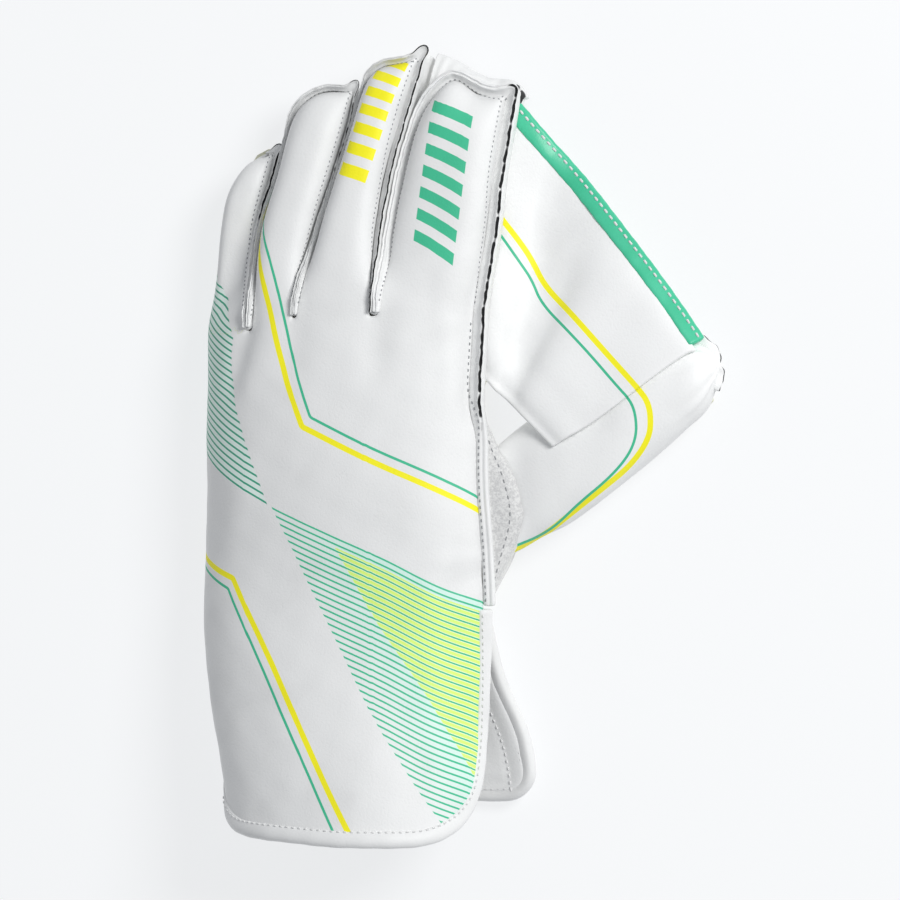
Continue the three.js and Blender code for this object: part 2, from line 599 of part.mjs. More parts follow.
// The thumb's seam lip runs from its outer side round the tip to the corner of the web.
function makeThumbLip() {
  const stations = [0.8, 0.89, 0.95, 1];
  const points = [
    ...stations.map((t) => thumbPoint(t, 0)),
    ...stations.slice(1).reverse().map((t) => thumbPoint(t, Math.PI)),
  ];
  const frames = points.map((point, i) => {
    const before = points[Math.max(i - 1, 0)];
    const after = points[Math.min(i + 1, points.length - 1)];
    const direction = after.clone().sub(before).setZ(0).normalize();
    return { point, out: new THREE.Vector3(direction.y, -direction.x, 0), rise: up.clone().negate() };
  });
  const section = [
    [CLEARANCE, -THUMB_LIP.height / 2], [CLEARANCE + THUMB_LIP.width, -THUMB_LIP.height / 2],
    [CLEARANCE + THUMB_LIP.width, THUMB_LIP.height / 2], [CLEARANCE, THUMB_LIP.height / 2],
  ];
  addPiece('thumb_lip', stripAlong(frames, () => section), SEAM_LEATHER);
}

// The suede gusset closes the side of the hand and opens into the thumb.
function makeThumbGusset() {
  const rows = [];
  const count = 18;
  for (let j = 0; j <= count; j += 1) {
    const y = lerp(LENGTHS.gussetTop - CLEARANCE / GLOVE_LENGTH, LENGTHS.wrist, j / count);
    rows.push([0, 0.2, 0.4, 0.6, 0.8, 1].map((t) => sidePoint(y, t)));
  }
  const wall = asSolid(sheet(quadsOf(rows, true), GUSSET));
  const bore = asSolid(strip(thumbLoops([-0.12, THUMB_START, 0.1, 0.2, 0.3, 0.42], CLEARANCE)));
  addPiece('thumb_gusset', fromSolid(wall.subtract(bore)), SUEDE);
}

// The web between finger and thumb is a curved sheet held at four corners.
function webPoint(s, t) {
  const index = FINGERS.at(-1);
  const high = fingerPoint(index, 1, WEB.indexHigh);
  const offset = new THREE.Vector3(CLEARANCE * 2, 0, -WEB.drop);
  const leftAt = (q) => {
    const total = (1 - WEB.indexLow) * SLITS[2].y * GLOVE_LENGTH;
    const finger = high.y - backPoint(1, 1).y;
    const d = q * (total + finger) - total;
    const below = sidePoint(SLITS[2].y + Math.min(d, 0) / GLOVE_LENGTH, 0.3);
    below.z = backSection(below.y / GLOVE_LENGTH, 1).z;
    return (d < 0 ? below : fingerPoint(index, 1, d / finger * WEB.indexHigh)).add(offset);
  };
  const rightAt = (q) => {
    const along = lerp(WEB.thumbLow.t, WEB.thumbHigh.t, q);
    const side = lerp(WEB.thumbLow.side, WEB.thumbHigh.side, q);
    const turn = Math.acos(Math.abs(side) ** (1 / THUMB_SQUARE) * Math.sign(side));
    return thumbPoint(along, turn, CLEARANCE + WEB_THICKNESS);
  };
  const corners = [leftAt(0), leftAt(1), rightAt(0), rightAt(1)];
  const low = corners[0].clone().lerp(corners[2], s);
  const edge = corners[3].clone().sub(corners[1]).normalize();
  const top = corners[1].clone().lerp(corners[3], s)
    .add(new THREE.Vector3(-edge.y, edge.x, 0).multiplyScalar(WEB.bow * 4 * s * (1 - s) * (0.55 + 0.9 * s)));
  const point = leftAt(t).lerp(rightAt(t), s)
    .add(low.lerp(top, t))
    .sub(corners[0].lerp(corners[2], s).lerp(corners[1].lerp(corners[3], s), t));
  const fold = Math.exp(-(((s - WEB.fold) / 0.16) ** 2)) * (1 - 0.5 * t);
  point.z -= WEB.sag * fold * Math.min(1, 5 * s) + 0.25 * WEB.sag * Math.sin(Math.PI * s) * t;
  return point;
}

function makeWeb() {
  const rows = Array.from({ length: WEB.rows + 1 }, (_, j) => (
    Array.from({ length: WEB.columns + 1 }, (_, i) => webPoint(i / WEB.columns, j / WEB.rows))
  ));
  addPiece('web_panel', sheet(quadsOf(rows), WEB_THICKNESS), WHITE_LEATHER);

  const half = TRIM_DEPTH / 2;
  const frames = Array.from({ length: TRIM_STEPS + 1 }, (_, i) => {
    const s = lerp(0, TRIM_END, i / TRIM_STEPS);
    const point = webPoint(s, 1);
    const ahead = webPoint(Math.min(s + 0.02, 1), 1).sub(webPoint(Math.max(s - 0.02, 0), 1)).normalize();
    const into = point.clone().sub(webPoint(s, 0.95)).normalize();
    const rise = ahead.clone().cross(into).normalize();
    const out = rise.clone().cross(ahead).normalize();
    return { point: point.addScaledVector(rise, -WEB_THICKNESS / 2), out, rise };
  });
  addPiece('web_trim', stripAlong(frames, () => [
    [CLEARANCE, -half], [CLEARANCE + TRIM_WIDTH * 0.75, -half], [CLEARANCE + TRIM_WIDTH, -half * 0.3],
    [CLEARANCE + TRIM_WIDTH, half * 0.3], [CLEARANCE + TRIM_WIDTH * 0.75, half], [CLEARANCE, half],
  ]), GREEN_TRIM);
}

// Frames along a sheet's free edge: out leads away from the leather and rise along its outer face's normal.
function edgeFrames(edge, inside, wall) {
  return edge.map((point, i) => {
    const along = edge[Math.min(i + 1, edge.length - 1)].clone().sub(edge[Math.max(i - 1, 0)]).normalize();
    const out = point.clone().sub(inside[i]);
    out.addScaledVector(along, -out.dot(along)).normalize();
    const rise = along.clone().cross(out);
    return { point: point.clone().addScaledVector(rise, -wall / 2), out, rise };
  });
}

// A rolled edge's section: as thin as the leather where it starts, and rounded on its outer side.
function rollSection(width, depth, wall) {
  const half = depth / 2;
  const neck = wall / 2;
  return [
    [ROLL_GAP, -neck], [width * 0.3, -half], [width * 0.7, -half], [width * 0.93, -half * 0.6],
    [width, 0], [width * 0.93, half * 0.6], [width * 0.7, half], [width * 0.3, half], [ROLL_GAP, neck],
  ];
}

// The palm side's cuff flap: across runs from the little finger's side to the thumb's, v from its end.
function flapPoint(across, v) {
  const y = lerp(FLAP_ROWS[0].y, FLAP_ROWS.at(-1).y, v);
  const row = (column) => read(FLAP_ROWS, 'y', column, y);
  const x = HAND_WIDTH * lerp(row('left'), row('right'), across);
  const inset = HAND_WIDTH * Math.min(across, 1 - across);
  const curl = row('curl') * (2 * across - 1) ** 4;
  return new THREE.Vector3(
    x,
    GLOVE_LENGTH * y + cornerDrop(inset, FLAP_CORNER) * (1 - v),
    HAND_DEPTH * (row('rise') + curl),
  );
}

const flapColumns = [0, 0.05, 0.12, 0.22, 0.35, 0.5, 0.65, 0.78, 0.88, 0.95, 1];

function makePalmCuff() {
  const shares = [0, 0.12, 0.3, 0.5, 0.7, 0.88, 1];
  const rows = shares.map((v) => flapColumns.map((across) => flapPoint(across, v)));
  rows.at(-1).forEach((p) => { p.y -= CLEARANCE; });
  addPiece('palm_cuff', sheet(quadsOf(rows, true), CUFF_PADDING), WHITE_LEATHER);

  const down = shares.slice(0, -1);
  const edge = [
    ...down.map((v) => [0, v]).reverse(),
    ...flapColumns.slice(1, -1).map((across) => [across, 0]),
    ...down.map((v) => [1, v]),
  ];
  const points = edge.map(([across, v]) => flapPoint(across, v));
  const inside = edge.map(([across, v]) => (
    flapPoint(clamp(across, flapColumns[1], flapColumns.at(-2)), Math.max(v, shares[1]))
  ));
  const frames = edgeFrames(points, inside, CUFF_PADDING);
  const section = rollSection(BINDING_WIDTH, CUFF_PADDING * 1.15, CUFF_PADDING * 0.8);
  addPiece('palm_binding', stripAlong(frames, () => section), SEAM_LEATHER);
}

function makeBackBinding() {
  const down = BACK_SHARES.filter((share) => share > 0 && share <= VENT_TOP);
  const edge = [
    ...down.slice().reverse().map((share) => [1, share]),
    ...handColumns.slice().reverse().map((across) => [across, 0]),
    ...down.map((share) => [0, share]),
  ];
  const points = edge.map(([across, share]) => backPoint(across, share));
  const inside = edge.map(([across, share]) => (
    backPoint(clamp(across, handColumns[1], handColumns.at(-2)), Math.max(share, down[0]))
  ));
  const frames = edgeFrames(points, inside, LEATHER);
  const section = rollSection(BINDING_WIDTH, BINDING_DEPTH, LEATHER * 0.4);
  addPiece('back_binding', stripAlong(frames, () => section), SEAM_LEATHER);
}

makeBackPanel();
makePalmFacing();
makeGussets();
makeLips();
makeThumb();
makeThumbLip();
makeThumbGusset();
makeWeb();
makePalmCuff();
makeBackBinding();

// The origin is under the middle of the glove, on the surface that it lies on.
const bounds = new THREE.Box3().setFromObject(glove);
const centre = bounds.getCenter(new THREE.Vector3());
glove.position.set(-centre.x, -centre.y, -bounds.min.z);

export default glove;
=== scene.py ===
"""A wicketkeeping glove for the left hand, lying on its palm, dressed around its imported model."""

import math

import bmesh
import bpy
import numpy as np
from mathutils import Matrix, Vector
from mathutils.bvhtree import BVHTree


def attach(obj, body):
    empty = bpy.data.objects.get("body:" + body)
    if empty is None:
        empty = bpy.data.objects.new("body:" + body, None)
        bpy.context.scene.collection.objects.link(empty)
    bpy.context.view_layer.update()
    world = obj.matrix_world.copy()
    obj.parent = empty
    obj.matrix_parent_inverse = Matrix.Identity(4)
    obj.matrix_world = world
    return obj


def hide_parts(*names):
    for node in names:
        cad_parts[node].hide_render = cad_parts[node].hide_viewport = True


bl_info = {
    "name": "Wicketkeeping glove",
    "version": (1, 0, 0),
    "blender": (4, 5, 0),
    "location": "View3D > Sidebar > Glove",
    "description": "Leather, seams, prints and stitching of a wicketkeeping glove",
    "category": "Object",
}

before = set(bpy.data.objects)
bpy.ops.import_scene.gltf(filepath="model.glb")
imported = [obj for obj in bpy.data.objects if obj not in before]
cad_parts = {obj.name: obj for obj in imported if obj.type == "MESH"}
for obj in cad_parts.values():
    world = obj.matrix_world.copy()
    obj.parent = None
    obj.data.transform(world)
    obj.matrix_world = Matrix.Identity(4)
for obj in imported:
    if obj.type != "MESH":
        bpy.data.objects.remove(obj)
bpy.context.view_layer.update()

# The glove's own frame, in millimetres: x from the little finger's side, y from the cuff's edge, z up.
# ORIGIN is where the model's origin lies in it. The sizes below, and what the tables say in shares of
# them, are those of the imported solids, or a little closer to the photograph.
MM = 0.001
ORIGIN = np.array((96.27, 143.89, -0.10))
UP = np.array((0, 0, 1.0))
GLOVE_LENGTH = 290
HAND_WIDTH = 106
HAND_DEPTH = 48
CLEARANCE = 0.3
FACING = 3
CUFF_PADDING = 4.6
BINDING_WIDTH = 5
ROLL_WIDTH = 3.8
BACK_CORNERS = {"left": 38, "right": 27}
CUFF_SLOPE = 5.5
FLAP_CORNER = 9
THUMB_LENGTH = 97
THUMB_WIDTH = 29
THUMB_DEPTH = 26
THUMB_ANGLE = math.radians(35.7)
THUMB_SKEW = 0.5
THUMB_ROOT = (1.038, 0.401)
THUMB_START = 0.03
THUMB_SQUARE = 0.8
WEB_THICKNESS = 2.2
GUSSET_TOP = 0.562
WRIST = 0.302
VENT_TOP = 0.42
FINGER_SQUARE = 0.62
RIM_FALL = 0.6
KNUCKLE_BLEND = 0.34
TIP_START = 0.8
TIP_NARROW = 0.05
SIDE_ROUND = 0.5


def table(columns, *rows):
    """A table of named columns, each a numpy array."""
    return dict(zip(columns.split(), np.array(rows, float).T))


BACK_ROWS = table(
    "y left right low top flare",
    (0, 0.125, 1.0, 0.62, 1.38, 1),
    (0.088, 0.086, 1.006, 0.54, 1.29, 0.95),
    (0.176, 0.038, 1.01, 0.43, 1.16, 0.7),
    (0.258, 0.008, 1.014, 0.3, 1.04, 0.3),
    (0.302, 0, 1.016, 0.228, 1.0, 0.1),
    (0.37, 0, 1.006, 0.1, 0.98, 0),
    (0.46, 0, 0.99, 0.072, 1.0, 0),
    (0.56, 0, 0.993, 0.072, 0.98, 0),
    (0.663, 0.004, 1.004, 0.072, 0.93, 0),
)
BACK_SECTION = table(
    "across hand_x hand_z cuff_x cuff_z",
    (0, 0.03, 0, 0.012, 0),
    (0.09, 0, 0.27, 0, 0.23),
    (0.19, 0.03, 0.56, 0.035, 0.48),
    (0.33, 0.15, 0.83, 0.16, 0.78),
    (0.5, 0.362, 0.98, 0.37, 0.97),
    (0.68, 0.6, 1.0, 0.62, 1.0),
    (0.84, 0.81, 0.93, 0.85, 0.78),
    (0.94, 0.935, 0.8, 0.96, 0.45),
    (1, 1, 0.66, 1, 0.2),
)
SLITS = table("across y", (0.362, 0.645), (0.5, 0.66), (0.708, 0.663))
KNUCKLES = table("across y", (0, 0.645), (0.362, 0.645), (0.5, 0.66), (0.708, 0.663), (1, 0.663))
FINGER_LINES = table(
    "y outer pinky_ring ring_middle middle_index side",
    (0.645, 0.008, 0.192, 0.35, 0.632, 1.004),
    (0.72, 0.032, 0.19, 0.392, 0.648, 1.024),
    (0.78, 0.052, 0.206, 0.43, 0.662, 1.042),
    (0.84, 0.075, 0.25, 0.477, 0.686, 1.058),
    (0.9, 0.1, 0.28, 0.522, 0.724, 1.084),
    (0.96, 0.12, 0.298, 0.556, 0.77, 1.114),
    (1, 0.13, 0.305, 0.572, 0.8, 1.13),
)
# Each finger: its two lines, half the gap that it leaves beside each, its end, the heights of its crown and
# its rims, how far its leather stops short of the lines and the end, its grid, and how far its end lies past
# that at each place of TIP_ACROSS, in millimetres.
TIP_ACROSS = np.array((-1, -0.75, -0.5, -0.25, 0, 0.25, 0.5, 0.75, 1))
FINGERS = [
    {"name": "pinky", "lines": ("outer", "pinky_ring"), "gaps": (0, 1.3), "tip": 0.876, "top": 0.56,
     "rims": (0.072, 0.36), "inset": (0, 1.3), "end": 1.4, "columns": 20, "rows": 30,
     "tip_line": (-13, -10, -7.2, -5, -3.4, -2.4, -1.5, -0.8, 0)},
    {"name": "ring", "lines": ("pinky_ring", "ring_middle"), "gaps": (1.3, 0.8), "tip": 0.953, "top": 0.66,
     "rims": (0.38, 0.42), "inset": (1.1, 1.0), "end": 1.0, "columns": 13, "rows": 36,
     "tip_line": (-9.5, -5.6, -3, -1.4, -0.6, -0.4, -0.6, -0.9, -0.6)},
    {"name": "middle", "lines": ("ring_middle", "middle_index"), "gaps": (0.8, 0.8), "tip": 0.985, "top": 0.7,
     "rims": (0.42, 0.46), "inset": (1.0, 2.0), "end": 1.2, "columns": 13, "rows": 38,
     "tip_line": (-6, -3, -1.2, -0.6, -0.3, 0.2, 0.8, 1.6, 2.4)},
    {"name": "index", "lines": ("middle_index", "side"), "gaps": (2.1, 0), "tip": 0.961, "top": 0.68,
     "rims": (0.46, 0.46), "inset": (2.0, 3.2), "end": 1.7, "columns": 22, "rows": 36,
     "tip_line": (-9, -1.6, 1.8, 0.8, -1.4, -3.8, -4.8, -4.8, -4.0)},
]
# The leather's run over the knuckles is about this long, and each finger takes its share of it.
KNUCKLE_ARC = HAND_WIDTH * 1.3
for number, finger in enumerate(FINGERS):
    left_gap, right_gap = (gap / KNUCKLE_ARC for gap in finger["gaps"])
    finger["from"] = SLITS["across"][number - 1] + left_gap if number > 0 else 0.0
    finger["to"] = SLITS["across"][number] - right_gap if number < 3 else 1.0
HAND_ROWS = 76

SIDE_ROWS = table(
    "y rise foot swell",
    (0.302, 0.15, -0.03, 0.005),
    (0.325, 0.09, 0, 0.04),
    (0.36, 0.03, 0.05, 0.095),
    (0.414, 0, 0.1, 0.172),
    (0.46, 0, 0.07, 0.142),
    (0.505, 0, -0.01, 0.06),
    (0.553, 0, -0.04, 0.004),
    (0.61, 0, -0.03, 0),
    (0.663, 0, 0, 0),
)
FLAP_ROWS = table(
    "y left right rise curl",
    (0.062, 0.1, 1.115, 0.01, 0.1),
    (0.122, 0.095, 1.085, 0.018, 0.11),
    (0.191, 0.12, 1.014, 0.07, 0.12),
    (0.25, 0.138, 0.978, 0.13, 0.1),
    (0.302, 0.145, 0.95, 0.15, 0.06),
)
THUMB_ROWS = table(
    "t inner outer depth",
    (0, 1.6, 0.7, 0.7),
    (0.08, 1.66, 0.78, 0.76),
    (0.2, 1.7, 0.9, 0.85),
    (0.33, 1.36, 0.96, 0.99),
    (0.48, 1.06, 0.97, 1.02),
    (0.67, 0.98, 0.9, 0.98),
    (0.85, 0.92, 0.82, 0.88),
    (0.94, 0.8, 0.7, 0.72),
    (1, 0.42, 0.34, 0.4),
)


def lerp(a, b, t):
    return a + (b - a) * t


def ease(t):
    t = np.clip(t, 0, 1)
    return t * t * (3 - 2 * t)


def bell(t, centre, width):
    return np.exp(-(((t - centre) / width) ** 2))


def read(rows, key, column, at):
    """A smooth curve through one column of a table."""
    keys, values = rows[key], rows[column]
    last = len(keys) - 1
    at = np.asarray(at, float)
    ends = np.arange(last + 1)
    low, high = np.maximum(ends - 1, 0), np.minimum(ends + 1, last)
    slope = (values[high] - values[low]) / (keys[high] - keys[low])
    i = np.clip(np.searchsorted(keys, at) - 1, 0, last - 1)
    step = keys[i + 1] - keys[i]
    t = np.clip((at - keys[i]) / step, 0, 1)
    rise = values[i + 1] - values[i]
    start, end = slope[i] * step, slope[i + 1] * step
    return values[i] + t * (start + t * (3 * rise - 2 * start - end + t * (start + end - 2 * rise)))


def points(x, y, z):
    return np.stack(np.broadcast_arrays(x, y, z), -1).astype(float)


def read_row(rows, at):
    """All columns of a table at one place in its first."""
    key = next(iter(rows))
    return {column: read(rows, key, column, at) for column in rows if column != key}


def run_of(path):
    """How far along a path each of its points lies."""
    return np.concatenate(([0], np.cumsum(np.linalg.norm(np.diff(path, axis=0), axis=1))))


def back_section(y, across):
    row, shape = read_row(BACK_ROWS, y), read_row(BACK_SECTION, across)
    x = lerp(shape["hand_x"], shape["cuff_x"], row["flare"])
    z = lerp(shape["hand_z"], shape["cuff_z"], row["flare"])
    return points(HAND_WIDTH * lerp(row["left"], row["right"], x), GLOVE_LENGTH * y,
                  HAND_DEPTH * lerp(row["low"], row["top"], z))


CUFF_ARC = run_of(back_section(0.0, np.linspace(0, 1, 41)))[-1]


def corner_drop(inset, radius):
    d = np.clip(1 - inset / radius, 0, 1)
    return radius * (1 - np.sqrt(1 - d * d * 0.98))


def back_point(across, v, inset=0.0):
    """The back's leather; inset pulls it in from the thumb side's seam, above the wrist."""
    knuckle = read(KNUCKLES, "across", "y", across)
    p = back_section(lerp(BINDING_WIDTH / GLOVE_LENGTH, knuckle, v), across)
    left = corner_drop(CUFF_ARC * across, BACK_CORNERS["left"])
    right = corner_drop(CUFF_ARC * (1 - across), BACK_CORNERS["right"])
    share = p[..., 1] / GLOVE_LENGTH
    slope = CUFF_SLOPE * np.clip(1 - across / 0.62, 0, 1)
    p[..., 1] += (left + right) * (1 - v) ** 4 + slope * (1 - v) ** 3
    p[..., 0] -= inset * ease((share - 0.5) / 0.06) * ease((across - 0.9) / 0.1)
    return p


def finger_point(finger, s, v, inset=1.0):
    """A finger's back: s runs from its left rim to its right one, v from knuckle to tip. Inset is the share
    of its leather's distance from its lines and its end that is kept: 1 for the leather, 0 for the seam."""
    start, end = finger["from"], finger["to"]
    left_in, right_in = (inset * value for value in finger["inset"])
    seam_in = right_in if end == 1 else 0.0
    s, v = np.asarray(s, float), np.asarray(v, float)
    root = back_point(lerp(start, end, s), 1.0, seam_in)
    sides = [back_point(a, 1.0) for a in (start, end, (start + end) / 2)]
    turn = np.cos(np.pi * s)
    sideways = -np.sign(turn) * np.abs(turn) ** FINGER_SQUARE
    cut = inset * finger["end"] * (1 if start > 0 else ease((s - 0.42) / 0.25))
    tip = GLOVE_LENGTH * finger["tip"] + np.interp(sideways, TIP_ACROSS, finger["tip_line"]) - cut
    y = lerp(root[..., 1], tip, v)

    def line(side, at):
        return HAND_WIDTH * read(FINGER_LINES, "y", finger["lines"][side], at / GLOVE_LENGTH)

    opening = ease(v / 0.1)
    left = line(0, y) + finger["gaps"][0] + left_in * opening
    right = line(1, y) - finger["gaps"][1] - right_in * (opening if end < 1 else 1)
    centre = (left + right) / 2
    moved = (line(0, y) + line(1, y) - line(0, root[..., 1]) - line(1, root[..., 1])) / 2
    closing = np.clip((v - TIP_START) / (1 - TIP_START), 0, 1)
    narrow = 1 - TIP_NARROW * closing ** 2
    fall = v ** RIM_FALL
    rim = lerp(lerp(sides[0][2], HAND_DEPTH * finger["rims"][0], fall),
               lerp(sides[1][2], HAND_DEPTH * finger["rims"][1], fall), ease(s * 1.4))
    crown = lerp(sides[2][2], HAND_DEPTH * finger["top"], v ** 1.4)
    arch = np.abs(np.sin(np.pi * s)) ** FINGER_SQUARE * np.sqrt(1 - 0.97 * closing ** 2)
    shaped = points(centre + sideways * narrow * (right - left) / 2, y, rim + (crown - rim) * arch)
    plain = points(root[..., 0] + moved, y, root[..., 2])
    return lerp(plain, shaped, ease(v / KNUCKLE_BLEND)[..., None])


def side_point(y, t):
    """The side of the hand below the thumb side's seam: t is 0 at the seam and 1 at the foot."""
    seam, row = back_section(y, 1.0), read_row(SIDE_ROWS, y)
    low = HAND_DEPTH * row["rise"] + FACING * 1.12 + CLEARANCE
    out = row["swell"] * np.sin(np.pi / 2 * t) ** SIDE_ROUND - (row["swell"] - row["foot"]) * t ** 4
    fall = 1 - np.abs(np.cos(np.pi / 2 * t)) ** SIDE_ROUND
    return points(seam[..., 0] + HAND_WIDTH * out, seam[..., 1], lerp(seam[..., 2] - 1.5, low, fall))


THUMB_ALONG = np.array((math.cos(THUMB_ANGLE), math.sin(THUMB_ANGLE), 0))
THUMB_SIDE = np.array((math.sin(THUMB_ANGLE), -math.cos(THUMB_ANGLE), 0))


def thumb_point(t, turn, grow=0.0):
    """The thumb's leather: t runs from its root to its tip, turn goes round it, and grow fattens it."""
    t, turn = np.broadcast_arrays(np.asarray(t, float), np.asarray(turn, float))
    c, s = np.cos(turn), np.sin(turn)
    share = np.where(c > 0, read(THUMB_ROWS, "t", "outer", t), read(THUMB_ROWS, "t", "inner", t))
    across = (THUMB_WIDTH / 2 * share + grow) * np.sign(c) * np.abs(c) ** THUMB_SQUARE
    depth = THUMB_DEPTH / 2 * read(THUMB_ROWS, "t", "depth", t) + grow
    along = THUMB_LENGTH * t - THUMB_SKEW * across
    p = along[..., None] * THUMB_ALONG + across[..., None] * THUMB_SIDE
    p += np.array((HAND_WIDTH * THUMB_ROOT[0], GLOVE_LENGTH * THUMB_ROOT[1], 0))
    p[..., 2] = FACING + CLEARANCE + THUMB_DEPTH * 0.52 + depth * np.sign(s) * np.abs(s) ** THUMB_SQUARE
    return p


WEB = {"index_low": 0.88, "index_high": 0.9, "thumb_low": (0.3, -0.45), "thumb_high": (0.96, -0.62),
       "bow": 1.6, "sag": 7, "fold": 0.3, "drop": 5}


def web_left(q):
    """The web's edge along the index finger."""
    index = FINGERS[-1]
    knuckle = SLITS["y"][2] * GLOVE_LENGTH
    high = finger_point(index, 1.0, WEB["index_high"], 0)[1] - back_point(1.0, 1.0)[1]
    total = (1 - WEB["index_low"]) * knuckle
    d = q * (total + high) - total
    share = (knuckle + np.minimum(d, 0)) / GLOVE_LENGTH
    below = side_point(share, 0.3)
    below[..., 2] = back_section(share, 1.0)[..., 2]
    above = finger_point(index, np.ones_like(q), np.maximum(d, 0) / high * WEB["index_high"], 0)
    p = np.where(d[..., None] < 0, below, above) + (CLEARANCE * 2, 0, -WEB["drop"])
    p[..., 0] -= 3.2 * ease((q - 0.45) / 0.5)
    return p


def web_right(q):
    """The web's edge along the thumb."""
    along = lerp(WEB["thumb_low"][0], WEB["thumb_high"][0], q)
    side = lerp(WEB["thumb_low"][1], WEB["thumb_high"][1], q)
    turn = np.arccos(np.abs(side) ** (1 / THUMB_SQUARE) * np.sign(side))
    return thumb_point(along, turn, CLEARANCE + WEB_THICKNESS)


def web_point(s, t):
    """The web: s runs from the index finger to the thumb, t from its lower corner to its free edge."""
    s, t = np.broadcast_arrays(np.asarray(s, float), np.asarray(t, float))
    corner = {(a, b): (web_right if a else web_left)(np.array(float(b))) for a in (0, 1) for b in (0, 1)}
    edge = corner[1, 1] - corner[0, 1]
    edge = edge / np.linalg.norm(edge)
    s1, t1 = s[..., None], t[..., None]
    low = lerp(corner[0, 0], corner[1, 0], s1)
    bow = WEB["bow"] * 4 * s1 * (1 - s1) * (0.55 + 0.9 * s1)
    top = lerp(corner[0, 1], corner[1, 1], s1)
    p = lerp(web_left(t), web_right(t), s1) + lerp(low, top + bow * np.array((-edge[1], edge[0], 0)), t1)
    p = p - lerp(low, top, t1)
    fold = bell(s, WEB["fold"], 0.16) * (1 - 0.5 * t) * (0.3 + 0.7 * ease(t / 0.35))
    p[..., 2] -= WEB["sag"] * (fold * np.minimum(1, 5 * s) + 0.25 * np.sin(np.pi * s) * t)
    return p


def flap_point(across, v):
    """The palm side's cuff flap: v is 0 at its end and 1 at the wrist."""
    y = lerp(FLAP_ROWS["y"][0], FLAP_ROWS["y"][-1], v)
    row = read_row(FLAP_ROWS, y)
    drop = corner_drop(HAND_WIDTH * np.minimum(across, 1 - across), FLAP_CORNER)
    return points(HAND_WIDTH * lerp(row["left"], row["right"], across), GLOVE_LENGTH * y + drop * (1 - v),
                  HAND_DEPTH * (row["rise"] + row["curl"] * (2 * across - 1) ** 4))


# ---------------------------------------------------------------- meshes


def to_frame(p):
    """From the glove's own millimetres to the model's metres."""
    return (np.asarray(p, float) - ORIGIN) * MM


def new_piece(name, p, faces):
    mesh = bpy.data.meshes.new(name)
    mesh.from_pydata(to_frame(p).reshape(-1, 3).tolist(), [], faces)
    mesh.update()
    mesh.shade_smooth()
    piece = bpy.data.objects.new(name, mesh)
    bpy.context.scene.collection.objects.link(piece)
    return piece


def grid_faces(rows, columns, first=0, closed=False, flip=False):
    """The faces of a grid of points, which may close into a ring."""
    faces = []
    for j in range(rows - 1):
        for i in range(columns if closed else columns - 1):
            a, b = first + j * columns + i, first + j * columns + (i + 1) % columns
            face = (a, b, b + columns, a + columns)
            faces.append(face[::-1] if flip else face)
    return faces


def vectors(collection, key):
    """The vectors that a mesh's collection holds, as an array."""
    values = np.zeros(len(collection) * 3)
    collection.foreach_get(key, values)
    return values.reshape(-1, 3)


def places(piece):
    """A piece's points in the glove's millimetres."""
    return vectors(piece.data.vertices, "co") / MM + ORIGIN


def normals(piece):
    return vectors(piece.data.vertex_normals, "vector")


def move(piece, p):
    piece.data.vertices.foreach_set("co", to_frame(p).ravel())
    piece.data.update()


def put_field(piece, name, values):
    """Writes a number or a vector for each point, for a material to read."""
    values = np.asarray(values, np.float32)
    kind, key = ("FLOAT", "value") if values.ndim == 1 else ("FLOAT_VECTOR", "vector")
    piece.data.attributes.new(name, kind, "POINT").data.foreach_set(key, values.ravel())


def leave_no_raw_edge(piece):
    put_field(piece, "raw_edge", np.zeros(len(piece.data.vertices)))


def take_up(piece):
    """Selects one piece alone and makes it the active one."""
    bpy.ops.object.select_all(action="DESELECT")
    piece.select_set(True)
    bpy.context.view_layer.objects.active = piece


def edit_all(piece, operator, **settings):
    """Runs one edit-mode operator on all of a piece."""
    take_up(piece)
    bpy.ops.object.mode_set(mode="EDIT")
    bpy.ops.mesh.select_all(action="SELECT")
    operator(**settings)
    bpy.ops.object.mode_set(mode="OBJECT")


def face_outwards(piece):
    edit_all(piece, bpy.ops.mesh.normals_make_consistent, inside=False)


def apply_modifiers(piece):
    take_up(piece)
    for modifier in list(piece.modifiers):
        bpy.ops.object.modifier_apply(modifier=modifier.name)


def smooth_below(piece, angle):
    """Smooth shading across edges that turn by less than an angle in degrees."""
    piece.data.shade_smooth()
    take_up(piece)
    bpy.ops.object.shade_smooth_by_angle(angle=math.radians(angle))


def give_wall(piece, wall, lined=True):
    """Gives a sheet its thickness, inwards; its inner face takes the second material."""
    modifier = piece.modifiers.new("wall", "SOLIDIFY")
    modifier.thickness = wall * MM
    modifier.offset = -1
    modifier.material_offset = 1 if lined else 0
    modifier.material_offset_rim = 0


def give_materials(piece, *names):
    piece.data.materials.clear()
    for name in names:
        piece.data.materials.append(bpy.data.materials[name])


def dress(piece, *names):
    """Gives a piece its materials, rounds it and applies its modifiers."""
    give_materials(piece, *names)
    modifier = piece.modifiers.new("round", "SUBSURF")
    modifier.levels = modifier.render_levels = 1
    apply_modifiers(piece)


def wave(t, seed, *lengths):
    """A smooth uneven wave between about -1 and 1, the same on each run."""
    total = sum(np.sin(2 * np.pi * t / length + seed * (2.3 + k) + k) for k, length in enumerate(lengths))
    return total / len(lengths)


def ripple(p, seed, length):
    """A smooth uneven field over the glove."""
    x, y = p[..., 0], p[..., 1] + 0.6 * p[..., 2]
    a = np.sin(2 * np.pi * (x * 0.8 + y * 0.33) / length + seed)
    b = np.sin(2 * np.pi * (y * 0.9 - x * 0.27) / (length * 1.37) + seed * 2.1)
    c = np.sin(2 * np.pi * (x * 0.45 - y * 0.71) / (length * 0.62) + seed * 3.7)
    return (a * b + 0.5 * c) / 1.5


